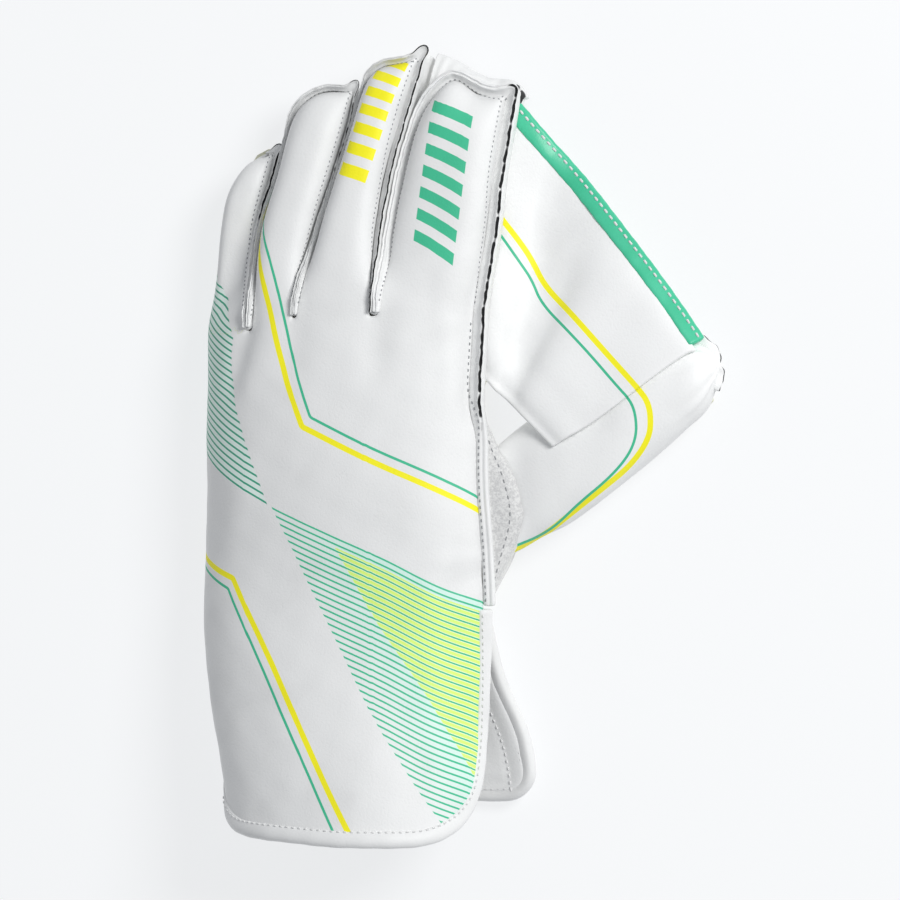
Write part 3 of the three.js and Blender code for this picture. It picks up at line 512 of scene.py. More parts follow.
def folds_at(p, folds):
    """The depth of straight folds: x, y, angle in degrees, length, width and depth of each."""
    total = np.zeros(p.shape[:-1])
    for x, y, angle, length, width, depth in folds:
        c, s = math.cos(math.radians(angle)), math.sin(math.radians(angle))
        along = ((p[..., 0] - x) * c + (p[..., 1] - y) * s) / length
        across = (-(p[..., 0] - x) * s + (p[..., 1] - y) * c) / width
        total += depth * np.exp(-along ** 4 - across ** 2)
    return total


def along_path(path, run, at):
    """Points at given distances along a path whose own points' distances are run."""
    return np.stack([np.interp(at, run, path[:, k]) for k in range(3)], -1)


def even_steps(path, step):
    """Points along a path, about a step apart."""
    run = run_of(path)
    return along_path(path, run, np.linspace(0, run[-1], max(2, int(round(run[-1] / step)) + 1)))


def unit(v):
    return v / np.maximum(np.linalg.norm(v, axis=-1, keepdims=True), 1e-9)


def directions(path):
    return unit(np.gradient(path, axis=0))


def soften(values, times):
    """Evens out a row of values or points, and leaves its two ends in place."""
    for _ in range(times):
        values = np.concatenate((values[:1], (values[:-2] + 2 * values[1:-1] + values[2:]) / 4, values[-1:]))
    return values


def loft(name, stations):
    """A closed tube through loops of points, a loop for each station."""
    count, sides = stations.shape[:2]
    faces = grid_faces(count, sides, closed=True, flip=True)
    faces += [tuple(range(sides)), tuple(reversed(range((count - 1) * sides, count * sides)))]
    piece = new_piece(name, stations.reshape(-1, 3), faces)
    face_outwards(piece)
    return piece


def sweep(name, path, out, rise, across, up):
    """A closed tube along a path: each station's loop lies across and up from it, in millimetres."""
    rise = np.broadcast_to(rise, path.shape)
    return loft(name, path[:, None] + out[:, None] * across[..., None] + rise[:, None] * up[..., None])


def even_shares(count):
    """Shares from a finger's left rim to its right one, evenly far apart on its leather."""
    s = np.linspace(0, 1, 801)
    turn = np.cos(np.pi * s)
    x = -np.sign(turn) * np.abs(turn) ** FINGER_SQUARE
    z = np.abs(np.sin(np.pi * s)) ** FINGER_SQUARE
    arc = run_of(np.stack((x, z), -1))
    return np.interp(np.linspace(0, arc[-1], count), arc, s)


def ride_as(piece, slot, *nodes):
    """Says which body a piece rides on and which nodes it stands in for; its slot is not used."""
    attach(piece, "root")
    if nodes:
        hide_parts(*nodes)
    return piece


# ---------------------------------------------------------------- printed stripes and folds


# Each printed line in the unrolled back's millimetres, from the fingers' end to the cuff's or the seam's.
BACK_LINES = {
    "hand_yellow": [(22.3, 218.3), (25.5, 207.8), (30, 194.4), (33.4, 179.3), (37.5, 166.1), (42.6, 153.3),
                    (43.1, 152), (44.6, 151.3), (68.2, 139.7), (90.2, 130.4), (112.2, 120.4)],
    "hand_green": [(23.8, 226.4), (27.8, 216.2), (32.6, 202), (35.8, 190), (38.8, 176), (45.7, 156.6),
                   (46.2, 155.4), (47.6, 154.7), (68.2, 144.4), (90.2, 135.1), (112.2, 125)],
    "cuff_yellow": [(-4.7, 104.4), (5.2, 100.4), (13, 97.6), (14.3, 97.2), (15.1, 96), (31.8, 68),
                    (48.5, 36.5), (59, 17.2), (65.9, 5)],
    "cuff_green": [(-3.8, 100.4), (5.6, 96.2), (11, 93.9), (12.5, 93.3), (13.2, 92), (26.3, 69.5),
                   (41.5, 41), (52.1, 21), (60.3, 5)],
}
# The two hatched areas: their borders, how far apart their lines lie, and how the side's lines slope.
CUFF_HATCH_TOP = table("x y", (0, 138), (31.1, 122.7), (53, 112.9), (73.2, 104.1), (94.1, 93.9), (116, 87))
CUFF_HATCH_LEFT = [(31.1, 123), (45.2, 95.4), (61.8, 65.1), (72.2, 46.3), (82.3, 31.8), (93.2, 16.6),
                   (104.2, 4)]
CUFF_HATCH_WARM = [(61, 98.5), (69.3, 84), (78.4, 71.4), (89.4, 57.1), (99, 43), (118, 22)]
CUFF_PITCH = 2.27
CUFF_LINES = 60
CUFF_FADE = 26.0
SIDE_HATCH_EDGE = [(-5, 212), (4, 200), (13.9, 186), (11.9, 179), (12.2, 167.1), (29.5, 123.4)]
SIDE_SLOPE = 0.53
SIDE_LAST = (28.7, 124.6)
SIDE_PITCH = 2.56
SIDE_LINES = 31
# A distance, in millimetres, at which no line shows, for the places where none is printed.
FAR_AWAY = 60.0
# Bars across a finger: the lower left and upper left corners of the group, the bars' width, how they
# slope at the bottom and at the top, their number, the share of the pitch that each fills, how much they
# bend, and how much closer they lie at the bottom.
BARS = {
    "bars_index": {"low": (82.9, 219.5), "high": (88, 266.5), "width": 15.7, "slopes": (0.56, 0.4),
                   "count": 7, "fill": 0.535, "bend": 0.005, "taper": 0},
    "bars_middle": {"low": (54, 243.6), "high": (66.5, 284.5), "width": 12, "slopes": (0.3, 0.32),
                    "count": 7, "fill": 0.56, "bend": 0.003, "taper": 0.197},
}
# The web's and thumb's lines, in the photograph's own pixels, with their size and where the glove's frame
# lies in it; LEAN_X and LEAN_Z say how the photograph's view shows x and z.
PIXEL = 0.3625
PIXEL_ORIGIN = (216.2, 846)
LEAN_X, LEAN_Z = 0.974, -0.225
# The print ends where the leather turns further down than this.
PRINT_LIMIT = -0.35
WEB_LINES = {
    "web_yellow": [(503.5, 221), (521, 243.5), (532, 260), (544, 285), (567, 310), (601, 349), (635.5, 388),
                   (645, 400), (649, 415), (648, 438), (630, 465), (602, 488), (570, 513.5), (542, 536.5),
                   (517, 548)],
    "web_green": [(501, 235.5), (521, 264), (532, 280), (541, 303), (567, 331), (590, 356), (617, 388),
                  (629, 401), (634, 415), (635, 435.5), (627, 456), (607, 479), (579, 502), (556, 525),
                  (538, 536.5), (522, 543)],
}

# Soft valleys and ridges of the back: x, y, angle, length, width, depth, in millimetres and degrees.
BACK_FOLDS = [
    (17.5, 178, 74, 17, 4.5, -2.0),
    (39, 184, 80, 14, 6, -1.1),
    (70, 183, 92, 15, 6.5, -1.3),
    (26, 176, 60, 20, 8, 0.7),
    (100, 150, 82, 26, 3.2, -0.5),
    (96, 178, 95, 20, 4, 0.45),
    (60, 95, -26, 34, 12, -0.5),
    (30, 60, -62, 36, 10, 0.5),
    (84, 40, -70, 28, 9, -0.6),
    (18, 128, 78, 22, 6, 0.5),
    (101, 96, 20, 9, 3.2, -0.7),
    (99, 104, 12, 9, 2.6, 0.5),
]


def rounded(line):
    """A line with its corners cut, so that it bends as smoothly as a printed one."""
    line = np.array(line, float)
    for _ in range(3):
        a, b = line[:-1], line[1:]
        cut = np.stack((lerp(a, b, 0.25), lerp(a, b, 0.75)), 1).reshape(-1, 2)
        line = np.vstack((line[:1], cut[1:-1], line[-1:]))
    return line


def beside(line, p):
    """How far points lie beside a line, with a sign for its side; its two ends are drawn on."""
    line = rounded(line)
    line[0] += (line[0] - line[1]) * 9
    line[-1] += (line[-1] - line[-2]) * 9
    best = np.full(len(p), 1e9)
    for a, b in zip(line[:-1], line[1:]):
        d = b - a
        t = np.clip(((p - a) @ d) / (d @ d), 0, 1)
        gap = p - a - t[:, None] * d
        length = np.linalg.norm(gap, axis=1)
        side = np.sign(d[0] * gap[:, 1] - d[1] * gap[:, 0])
        best = np.where(length < np.abs(best), length * np.where(side == 0, 1, side), best)
    return best


def bars_field(bars, p):
    """Across and along a group of bars: millimetres from its middle line, and the bar's number."""
    low, high = np.array(bars["low"], float), np.array(bars["high"], float)
    rise = (p[:, 1] - low[1]) / (high[1] - low[1])
    x = p[:, 0] - lerp(low[0], high[0], rise)
    slope = lerp(*bars["slopes"], np.clip(rise, -0.3, 1.3))
    drop = slope * x + bars["bend"] * (x - bars["width"] / 2) ** 2
    share = (p[:, 1] + drop - low[1]) / (high[1] - low[1])
    share = lerp(share, share * np.abs(share), bars["taper"])
    return x - bars["width"] / 2, share * (bars["count"] - 1)


def print_back(piece):
    """Writes where each printed stripe lies on the back's leather, for its material to read."""
    flat = vectors(piece.data.attributes["unrolled"].data, "vector")
    p, finger = flat[:, :2], np.round(flat[:, 2])
    away = np.where(finger < 0, FAR_AWAY, 0.0)
    lines = {name: beside(line, p) for name, line in BACK_LINES.items()}

    def put(name, *values):
        put_field(piece, name, np.stack(values, -1))

    put("hand_lines", lines["hand_yellow"] + away, lines["hand_green"] + away, away)
    put("cuff_lines", lines["cuff_yellow"], lines["cuff_green"], away)
    top = read(CUFF_HATCH_TOP, "x", "y", p[:, 0])
    put("cuff_hatch", (top - p[:, 1]) / CUFF_PITCH, beside(CUFF_HATCH_LEFT, p), beside(CUFF_HATCH_WARM, p))
    below = (p[:, 1] - SIDE_LAST[1] + SIDE_SLOPE * (p[:, 0] - SIDE_LAST[0])) / SIDE_PITCH
    put("side_hatch", below, -beside(SIDE_HATCH_EDGE, p), away)
    for number, name in ((3, "bars_middle"), (4, "bars_index")):
        put(name, *bars_field(BARS[name], p), np.where(finger == number, 1.0, 0.0))


def print_web(piece):
    """The same for the web and the thumb, whose lines are read in the photograph's own plane."""
    p = places(piece)
    seen = np.stack(((p[:, 0] * LEAN_X + p[:, 2] * LEAN_Z) / PIXEL + PIXEL_ORIGIN[0],
                     PIXEL_ORIGIN[1] - p[:, 1] / PIXEL), -1)
    yellow, green = (beside(WEB_LINES[name], seen) * PIXEL for name in ("web_yellow", "web_green"))
    away = np.where(normals(piece)[:, 2] > PRINT_LIMIT, 0.0, FAR_AWAY)
    put_field(piece, "web_lines", np.stack((yellow + away, green + away, away), -1))


# ---------------------------------------------------------------- materials


class Shade:
    """A short way to build a node tree."""

    def __init__(self, tree):
        self.tree = tree
        tree.nodes.clear()

    def give(self, socket, value):
        if isinstance(value, bpy.types.NodeSocket):
            self.tree.links.new(value, socket)
        else:
            socket.default_value = value

    def node(self, kind, inputs=None, **settings):
        node = self.tree.nodes.new("ShaderNode" + kind)
        for key, value in settings.items():
            setattr(node, key, value)
        for key, value in (inputs or {}).items():
            self.give(node.inputs[key], value)
        return node

    def math(self, operation, *values):
        return self.node("Math", dict(enumerate(values)), operation=operation).outputs[0]

    def add(self, a, b):
        return self.math("ADD", a, b)

    def less(self, a, b):
        return self.math("SUBTRACT", a, b)

    def times(self, a, *more):
        for b in more:
            a = self.math("MULTIPLY", a, b)
        return a

    def size(self, a):
        return self.math("ABSOLUTE", a)

    def soft_step(self, value, low, high):
        return self.node("MapRange", {"Value": value, "From Min": low, "From Max": high},
                         interpolation_type="SMOOTHSTEP").outputs[0]

    def mix(self, factor, a, b, **settings):
        return self.node("Mix", {0: factor, 6: a, 7: b}, data_type="RGBA", **settings).outputs[2]

    def field(self, name):
        values = self.node("Attribute", attribute_name=name).outputs["Vector"]
        return self.node("SeparateXYZ", {0: values}).outputs

    def group(self, name, inputs):
        return self.node("Group", inputs, node_tree=bpy.data.node_groups[name]).outputs

    def here(self):
        return self.node("TexCoord").outputs["Object"]

    def noise(self, at, scale, detail, output="Fac"):
        return self.node("TexNoise", {"Vector": at, "Scale": scale, "Detail": detail}).outputs[output]

    def close(self, base, roughness, height=None, strength=0.0, distance=0.0, **more):
        """Ends a material in one shader, over a bump where a height is given."""
        inputs = {"Base Color": base, "Roughness": roughness}
        if height is not None:
            inputs["Normal"] = self.node("Bump", {
                "Height": height, "Strength": strength, "Distance": distance}).outputs[0]
        inputs.update({key.replace("_", " "): value for key, value in more.items()})
        shader = self.node("BsdfPrincipled", inputs)
        self.node("OutputMaterial", {0: shader.outputs[0]})


def colour(rgb):
    """A linear colour with alpha, from an sRGB one."""
    return tuple(c / 12.92 if c <= 0.04045 else ((c + 0.055) / 1.055) ** 2.4 for c in rgb) + (1.0,)


def new_group(name, inputs, outputs):
    """A node group: its inputs are colours where their value is None, and else numbers."""
    tree = bpy.data.node_groups.new(name, "ShaderNodeTree")
    for label, value in inputs.items():
        kind = "NodeSocketColor" if value is None else "NodeSocketFloat"
        socket = tree.interface.new_socket(label, in_out="INPUT", socket_type=kind)
        if value is not None:
            socket.default_value = value
    for label, kind in outputs.items():
        tree.interface.new_socket(label, in_out="OUTPUT", socket_type="NodeSocket" + kind)
    shade = Shade(tree)
    return shade, tree.nodes.new("NodeGroupInput").outputs, tree.nodes.new("NodeGroupOutput").inputs


# Half the width over which the prints' edges fade: in millimetres, and for the hatch in shares of a pitch.
PRINT_EDGE = 0.1
LINE_EDGE = 0.08
HATCH_EDGE = 0.03


def make_groups():
    # Fine pebbled grain with pores, and a slow change of tone, a little darker between the pebbles as painted
    # shade.
    shade, given, out = new_group("leather_grain", {"Cell": 1400.0, "Wear": 0.5},
                                  {"Height": "Float", "Tone": "Float"})
    here = shade.here()
    bend = shade.noise(here, 260.0, 2.0, "Color")
    bent = shade.node("VectorMath", {0: bend, 1: (0.0012, 0.0012, 0.0012)}, operation="MULTIPLY")
    spot = shade.node("VectorMath", {0: here, 1: bent.outputs[0]}, operation="ADD").outputs[0]
    cells = shade.node("TexVoronoi", {"Vector": spot, "Scale": given["Cell"]},
                       feature="SMOOTH_F1").outputs["Distance"]
    fine, slow = shade.noise(here, 3200.0, 3.0), shade.noise(here, 38.0, 4.0)
    pebble = shade.less(1.0, shade.times(cells, cells))
    shade.give(out["Height"], shade.add(pebble, shade.times(fine, 0.35)))
    worn = shade.times(shade.soft_step(slow, 0.5, 0.72), given["Wear"])
    # The tone darkens slowly at random, and a little between the pebbles as painted shade.
    shade.give(out["Tone"], shade.less(shade.add(0.97, shade.times(pebble, 0.03)), worn))

    # Ink along a line whose distance is given in millimetres.
    shade, given, out = new_group("printed_line", {
        "Base": None, "Ink": None, "Distance": 9.0, "Half Width": 1.0}, {"Color": "Color"})
    edge = shade.less(given["Half Width"], shade.size(given["Distance"]))
    ink = shade.soft_step(edge, -LINE_EDGE, LINE_EDGE)
    shade.give(out["Color"], shade.mix(ink, given["Base"], given["Ink"]))

    # Bars across a finger.
    shade, given, out = new_group("printed_bars", {
        "Base": None, "Ink": None, "Across": 0.0, "Number": 0.0, "Half Width": 7.0, "Fill": 0.5,
        "Count": 7.0, "Here": 0.0}, {"Color": "Color"})
    inside = shade.soft_step(shade.less(given["Half Width"], shade.size(given["Across"])),
                             -PRINT_EDGE, PRINT_EDGE)
    share = shade.math("FRACT", given["Number"])
    bar = shade.soft_step(shade.times(share, shade.less(given["Fill"], share)), -0.002, 0.008)
    low = shade.math("GREATER_THAN", given["Number"], 0.0)
    high = shade.math("LESS_THAN", given["Number"], given["Count"])
    mask = shade.times(inside, bar, low, high, given["Here"])
    shade.give(out["Color"], shade.mix(mask, given["Base"], given["Ink"]))

    # Fine parallel lines with a pale tint between them, beyond a border.
    shade, given, out = new_group("printed_hatch", {
        "Base": None, "Ink": None, "Tint": None, "Number": 0.0, "Border": 0.0, "Half Line": 0.15,
        "Count": 30.0, "Fade": 1.0}, {"Color": "Color"})
    region = shade.times(shade.soft_step(given["Border"], -PRINT_EDGE, PRINT_EDGE),
                         shade.math("GREATER_THAN", given["Number"], -0.2),
                         shade.math("LESS_THAN", given["Number"], given["Count"]))
    off = shade.size(shade.less(shade.math("FRACT", shade.add(given["Number"], 0.5)), 0.5))
    line = shade.soft_step(shade.less(given["Half Line"], off), -HATCH_EDGE, HATCH_EDGE)
    fade = shade.math("MULTIPLY_ADD", shade.soft_step(given["Border"], 0.0, given["Fade"]), 0.8, 0.2)
    tinted = shade.mix(shade.times(region, fade), given["Base"], given["Tint"])
    shade.give(out["Color"], shade.mix(shade.times(line, region), tinted, given["Ink"]))


def new_material(name):
    made = bpy.data.materials.new(name)
    made.use_nodes = True
    return Shade(made.node_tree)


def finish_leather(shade, base, depth, roughness, **grain):
    """Adds grain, tone and gloss to a colour, and closes the material."""
    grain = shade.group("leather_grain", grain)
    tone = grain["Tone"]
    grey = shade.node("CombineColor", {0: tone, 1: tone, 2: tone}).outputs[0]
    toned = shade.mix(1.0, base, grey, blend_type="MULTIPLY")
    rough = shade.add(roughness, shade.times(tone, -0.08))
    shade.close(toned, rough, grain["Height"], depth, 0.0001, Specular_IOR_Level=0.32)


def plain_leather(name, rgb, raw_rgb, depth=0.6, roughness=0.64):
    """White leather, with the raw dark edge where the piece's field says so."""
    shade = new_material(name)
    raw = shade.node("Attribute", attribute_name="raw_edge").outputs["Fac"]
    base = shade.mix(shade.soft_step(raw, 0.35, 0.75), colour(rgb), colour(raw_rgb))
    finish_leather(shade, base, depth, roughness, Wear=0.06)


def draw_lines(shade, base, name, c, sizes):
    """The yellow and the green line whose distances a field holds."""
    inks = ((c.yellow, sizes.yellow_line), (c.green, sizes.green_line))
    for distance, (ink, width) in zip(shade.field(name), inks):
        base = shade.group("printed_line", {"Base": base, "Ink": colour(ink), "Distance": distance,
                                            "Half Width": width / MM / 2})[0]
    return base


def make_printed_leather(c, sizes):
    """The back's leather, with its hatched areas, stripes and bars."""
    shade = new_material("printed_leather")
    now = colour(c.leather)
    for name, ink, tint, count, fade in (("side_hatch", c.green_dark, c.mint_dark, SIDE_LINES, 1.0),
                                         ("cuff_hatch", c.green, c.mint, CUFF_LINES, CUFF_FADE)):
        hatch = shade.field(name)
        now = shade.group("printed_hatch", {"Base": now, "Ink": colour(ink), "Tint": colour(tint),
                                            "Number": hatch[0], "Border": hatch[1],
                                            "Count": float(count), "Fade": fade})[0]
    # Past a second border, every other space between the cuff's lines is bright.
    warm = shade.times(shade.soft_step(hatch[2], -PRINT_EDGE, PRINT_EDGE),
                       shade.math("GREATER_THAN", hatch[0], 1.5))
    beat = shade.size(shade.less(shade.math("FRACT", hatch[0]), 0.5))
    bright = shade.times(shade.soft_step(shade.less(0.25, beat), -HATCH_EDGE, HATCH_EDGE), warm)
    ground = shade.times(shade.math("GREATER_THAN", beat, 0.22), warm)
    pale = shade.times(shade.math("LESS_THAN", beat, 0.37), ground)
    now = shade.mix(pale, now, colour(c.lime_pale))
    now = shade.mix(bright, now, colour(c.lime))
    for name in ("hand_lines", "cuff_lines"):
        now = draw_lines(shade, now, name, c, sizes)
    for name, ink in (("bars_middle", c.yellow), ("bars_index", c.green)):
        bars, row = BARS[name], shade.field(name)
        now = shade.group("printed_bars", {"Base": now, "Ink": colour(ink), "Across": row[0],
                                           "Number": row[1], "Here": row[2], "Half Width": bars["width"] / 2,
                                           "Fill": bars["fill"], "Count": float(bars["count"])})[0]
    finish_leather(shade, now, 0.6, 0.64, Wear=0.05)


FLOOR_DIM = 0.24
FLOOR_GLOW = 0.8


def make_materials(c, sizes):
    plain_leather("grained_leather", c.leather, c.raw_edge)
    # A lighter copy of the white leather, painted light that makes up for the shade on the thumb, the web and
    # the palm side.
    plain_leather("painted_light_leather", c.leather_painted_light, c.raw_edge)
    plain_leather("binding_leather", c.leather, c.raw_edge, depth=0.5, roughness=0.56)
    make_printed_leather(c, sizes)

    # The thumb's and web's leather: the lighter copy, painted light, under their printed lines.
    shade = new_material("striped_leather")
    now = draw_lines(shade, colour(c.leather_painted_light), "web_lines", c, sizes)
    finish_leather(shade, now, 0.6, 0.6, Wear=0.05)

    shade = new_material("trim_leather")
    slow = shade.noise(shade.here(), 90.0, 3.0)
    # Slow noise spreads a painted highlight, a lighter green, over the trim.
    now = shade.mix(shade.soft_step(slow, 0.3, 0.8), colour(c.green), colour(c.green_painted_highlight))
    finish_leather(shade, now, 0.3, 0.4, Wear=0.05, Cell=1700.0)

    # Suede: a mottled nap with short fibres.
    shade = new_material("napped_suede")
    here = shade.here()
    nap, patch = shade.noise(here, 1500.0, 4.0), shade.noise(here, 620.0, 3.0)
    cloud = shade.add(shade.times(nap, 0.55), shade.times(patch, 0.45))
    now = shade.mix(shade.soft_step(cloud, 0.38, 0.62), colour(c.suede_dark), colour(c.suede))
    shade.close(now, 0.95, nap, 0.6, 0.0002, Sheen_Weight=0.35)

    # Palm rubber: rows of small pimples, painted lighter on their domes as a highlight.
    shade = new_material("pimpled_rubber")
    here = shade.here()
    dots = shade.node("TexVoronoi", {"Vector": here, "Scale": 420.0, "Randomness": 0.0},
                      feature="F1").outputs["Distance"]
    slow = shade.noise(here, 60.0, 4.0)
    dome = shade.soft_step(dots, 0.42, 0.12)
    now = shade.mix(shade.times(dome, 0.6), colour(c.rubber), colour(c.rubber_pimple_highlight))
    now = shade.mix(shade.times(shade.soft_step(slow, 0.5, 0.8), 0.25), now, colour(c.suede))
    shade.close(now, 0.75, dome, 0.8, 0.0006)

    # Lining: a fine knit, in rows, with painted shade in its hollows.
    shade = new_material("knit_lining")
    rows, loops = (shade.node("TexWave", {"Vector": shade.here(), "Scale": scale, "Distortion": bend,
                                          "Detail": 1.0}, bands_direction=way).outputs["Fac"]
                   for scale, bend, way in ((260.0, 1.2, "Y"), (340.0, 1.6, "X")))
    knit = shade.times(rows, loops)
    shade.close(shade.mix(knit, colour(c.lining_hollow_shade), colour(c.lining)), 0.9, knit, 0.5, 0.0003,
                Sheen_Weight=0.2)

    # Thread, twisted along its length, with painted shade in the twist's grooves.
    for name, rgb in (("white_thread", c.thread), ("grey_thread", c.thread_grey)):
        shade = new_material(name)
        twist = shade.node("TexWave", {"Vector": shade.here(), "Scale": 1500.0, "Distortion": 2.0},
                           bands_direction="DIAGONAL").outputs["Fac"]
        dark = colour(tuple(0.84 * part for part in rgb))
        shade.close(shade.mix(twist, dark, colour(rgb)), 0.6, twist, 0.4, 0.0001)

    # The floor is dark and glows, so that it stays pale with only a soft shadow on it.
    shade = new_material("pale_floor")
    slow = shade.noise(shade.here(), 3.0, 2.0)
    glow = shade.mix(slow, colour(tuple(part * 0.99 for part in c.floor)), colour(c.floor))
    base = shade.mix(1.0, glow, (FLOOR_DIM, FLOOR_DIM, FLOOR_DIM, 1), blend_type="MULTIPLY")
    shade.close(base, 0.95, Specular_IOR_Level=0.0, Emission_Color=glow, Emission_Strength=FLOOR_GLOW)


# ---------------------------------------------------------------- the glove's pieces


LEATHER_WALL = 2.4
SOFT_WALL = 1.8
FLANGE_STEP = 1.2
WALL_STEP = 1.6
BORDER_STEP = 1.5
# How far below its seam a finger's wall begins, and how far up the glove the knuckles lie.
WALL_DROP = 1.2
KNUCKLE_Y = 0.66 * GLOVE_LENGTH
# The shares of the little finger's tip at which its flange, its stitches and its wall begin.
PINKY_FLANGE_START, PINKY_STITCH_START, PINKY_WALL_START = 0.58, 0.6, 0.08
# The flange's section, where it lies flat and where it stands: each point's place out, as a share of the
# inner ply and in millimetres, its rise, and how much of its leather's raw dark edge shows.
FLAT_STRIP = table("ply out rise raw", (-1, -0.75, -1.6, 0), (-1, -0.6, 0.12, 0), (-0.9, -0.25, 0.4, 0),
                   (-0.4, 0.3, 0.8, 0), (0, 0.9, 0.95, 0), (0, 1.45, 0.75, 0.1), (0, 1.85, 0.5, 0.25),
                   (0, 2.3, 0.75, 0.1), (0, 2.8, 0.95, 0), (0, 3.3, 0.75, 0), (0, 3.65, 0.3, 0),
                   (0, 3.75, -0.6, 0), (0, 3.7, -1.6, 0), (0, 3.2, -2.2, 0), (0, 1.6, -2.3, 0),
                   (-1, 0.3, -2.3, 0))
UPRIGHT = table("ply out rise raw", (-1, -0.8, -1.2, 0), (-1, -0.6, 0.15, 0), (-0.75, 0, 0.38, 0),
                (-0.42, 0, 1.0, 0), (-0.2, 0, 2.05, 0), (-0.05, 0.02, 2.85, 0.1), (0, 0.2, 2.95, 0.75),
                (0, 0.36, 2.1, 1), (0, 0.62, 2.1, 1), (0, 0.86, 2.8, 0.8), (0, 1.1, 2.85, 0.1),
                (0, 1.32, 2.3, 0), (0, 1.45, 1.0, 0), (0, 1.4, -3.6, 0), (0, 0.4, -3.6, 0), (-1, 0, -2.2, 0))


def unroll(p, anchor, start):
    """How far each point of a grid lies along its row, from one column whose own place is given."""
    steps = np.linalg.norm(np.diff(p[..., [0, 2]], axis=1), axis=2)
    arc = np.concatenate((np.zeros((len(p), 1)), np.cumsum(steps, axis=1)), axis=1)
    return start[:, None] + arc - arc[:, anchor:anchor + 1]


def make_back():
    """One leather panel over the hand and the four fingers, joined to them at the knuckles."""
    shares = [np.linspace(0, 1, finger["columns"]) for finger in FINGERS]
    across, columns = [], []
    for finger, s in zip(FINGERS, shares):
        if across and finger["gaps"][0] > 2:
            across.append(np.array([finger["from"] - finger["gaps"][0] / KNUCKLE_ARC]))
        columns.append(sum(len(part) for part in across))
        across.append(lerp(finger["from"], finger["to"], s))
    across = np.concatenate(across)
    v = np.linspace(0, 1, HAND_ROWS)
    hand = back_point(across[None], v[:, None], FINGERS[-1]["inset"][1])
    anchor = int(np.argmin(np.abs(across - 0.55)))
    flat = unroll(hand, anchor, hand[:, anchor, 0])
    verts = [hand.reshape(-1, 3)]
    marks = [np.stack((flat, hand[..., 1], np.zeros_like(flat)), -1).reshape(-1, 3)]
    faces = grid_faces(HAND_ROWS, len(across))
    first = hand.shape[0] * hand.shape[1]
    for number, (finger, s, column) in enumerate(zip(FINGERS, shares, columns), 1):
        v = np.linspace(0, 1, finger["rows"])
        s = lerp(s[None], even_shares(len(s))[None], ease(v / 0.5)[:, None])
        grid = finger_point(finger, s, v[:, None])
        middle = s.shape[1] // 2
        start = flat[-1, column + middle] + grid[:, middle, 0] - grid[0, middle, 0]
        along = unroll(grid, middle, start)
        verts.append(grid.reshape(-1, 3))
        mark = -1 if finger["name"] == "pinky" else number
        marks.append(np.stack((along, grid[..., 1], np.full_like(along, mark)), -1).reshape(-1, 3))
        faces += grid_faces(len(grid), s.shape[1], first)
        first += grid.shape[0] * grid.shape[1]
    p, marks = np.concatenate(verts), np.concatenate(marks)
    piece = new_piece("back_skin", p, faces)
    put_field(piece, "unrolled", marks)
    edit_all(piece, bpy.ops.mesh.remove_doubles, threshold=0.00005)
    p = places(piece)
    rest = 1 - ease((p[:, 1] - 250) / 25)
    lift = folds_at(p, BACK_FOLDS) + 0.3 * ripple(p, 1.3, 41) * rest + 0.12 * ripple(p, 4.1, 13)
    move(piece, p + normals(piece) * lift[:, None])
    give_wall(piece, LEATHER_WALL)
    dress(piece, "printed_leather", "knit_lining")
    print_back(piece)
    ride_as(piece, "white_leather", "back_panel")
    return piece


def rim_path(finger, left=True, right=True, inset=0.0, start=0.0):
    """A finger's rim, from its left root round the tip to its right one, or a half of it, or the part past
    a share of its tip."""
    v = np.linspace(0.01, 1, 160)
    s = even_shares(121)
    tip = s >= start if left else s > 0.5
    if not right:
        tip &= s < 0.5
    parts = [finger_point(finger, s[tip], np.ones(tip.sum()), inset)]
    if left and start == 0:
        parts.insert(0, finger_point(finger, np.zeros_like(v), v, inset)[:-1])
    if right:
        parts.append(finger_point(finger, np.ones_like(v), v[::-1], inset)[1:])
    return np.concatenate(parts)


def outward(path):
    """Level directions to the left of a path, smoothed round its corners."""
    d = directions(path)
    out = np.stack((-d[:, 1], d[:, 0], np.zeros(len(d))), -1)
    return unit(soften(out, 4))


def flange_rim(finger, start=0.0):
    """A finger's seam line in even steps, and how far its leather lies inside it there."""
    outer, inner = (rim_path(finger, start=start, inset=inset) for inset in (0.0, 1.0))
    width = np.linalg.norm((outer - inner)[:, :2], axis=1)
    run = run_of(outer)
    path = even_steps(outer, FLANGE_STEP)
    width = np.interp(np.linspace(0, run[-1], len(path)), run, width)
    return soften(path, 6), soften(width, 4)


# How far each finger's flange sticks out in a point at its tip's right corner, and how long that point is.
EARS = {"pinky": (3.0, 2.0), "ring": (3.4, 2.0), "middle": (3.6, 2.2), "index": (1.4, 3.0)}
# How dark the flanges' raw edges are before that corner and past it, and down to which height the dark
# part goes.
RAW = {"pinky": (0.1, 1.5, 226), "ring": (0.4, 0.7, 238), "middle": (0.35, 1.55, 0), "index": (0.0, 1.14, 0)}


def corner_of(path):
    """The step at which a seam turns its finger's right corner."""
    return np.argmax(path[:, 0] * 0.8 + path[:, 1])


def point_out(path, name):
    """How much further out a flange reaches, for the pointed end at its finger's corner."""
    reach, spread = EARS[name]
    return reach * np.exp(-((np.arange(len(path)) - corner_of(path)) * FLANGE_STEP / spread) ** 2)


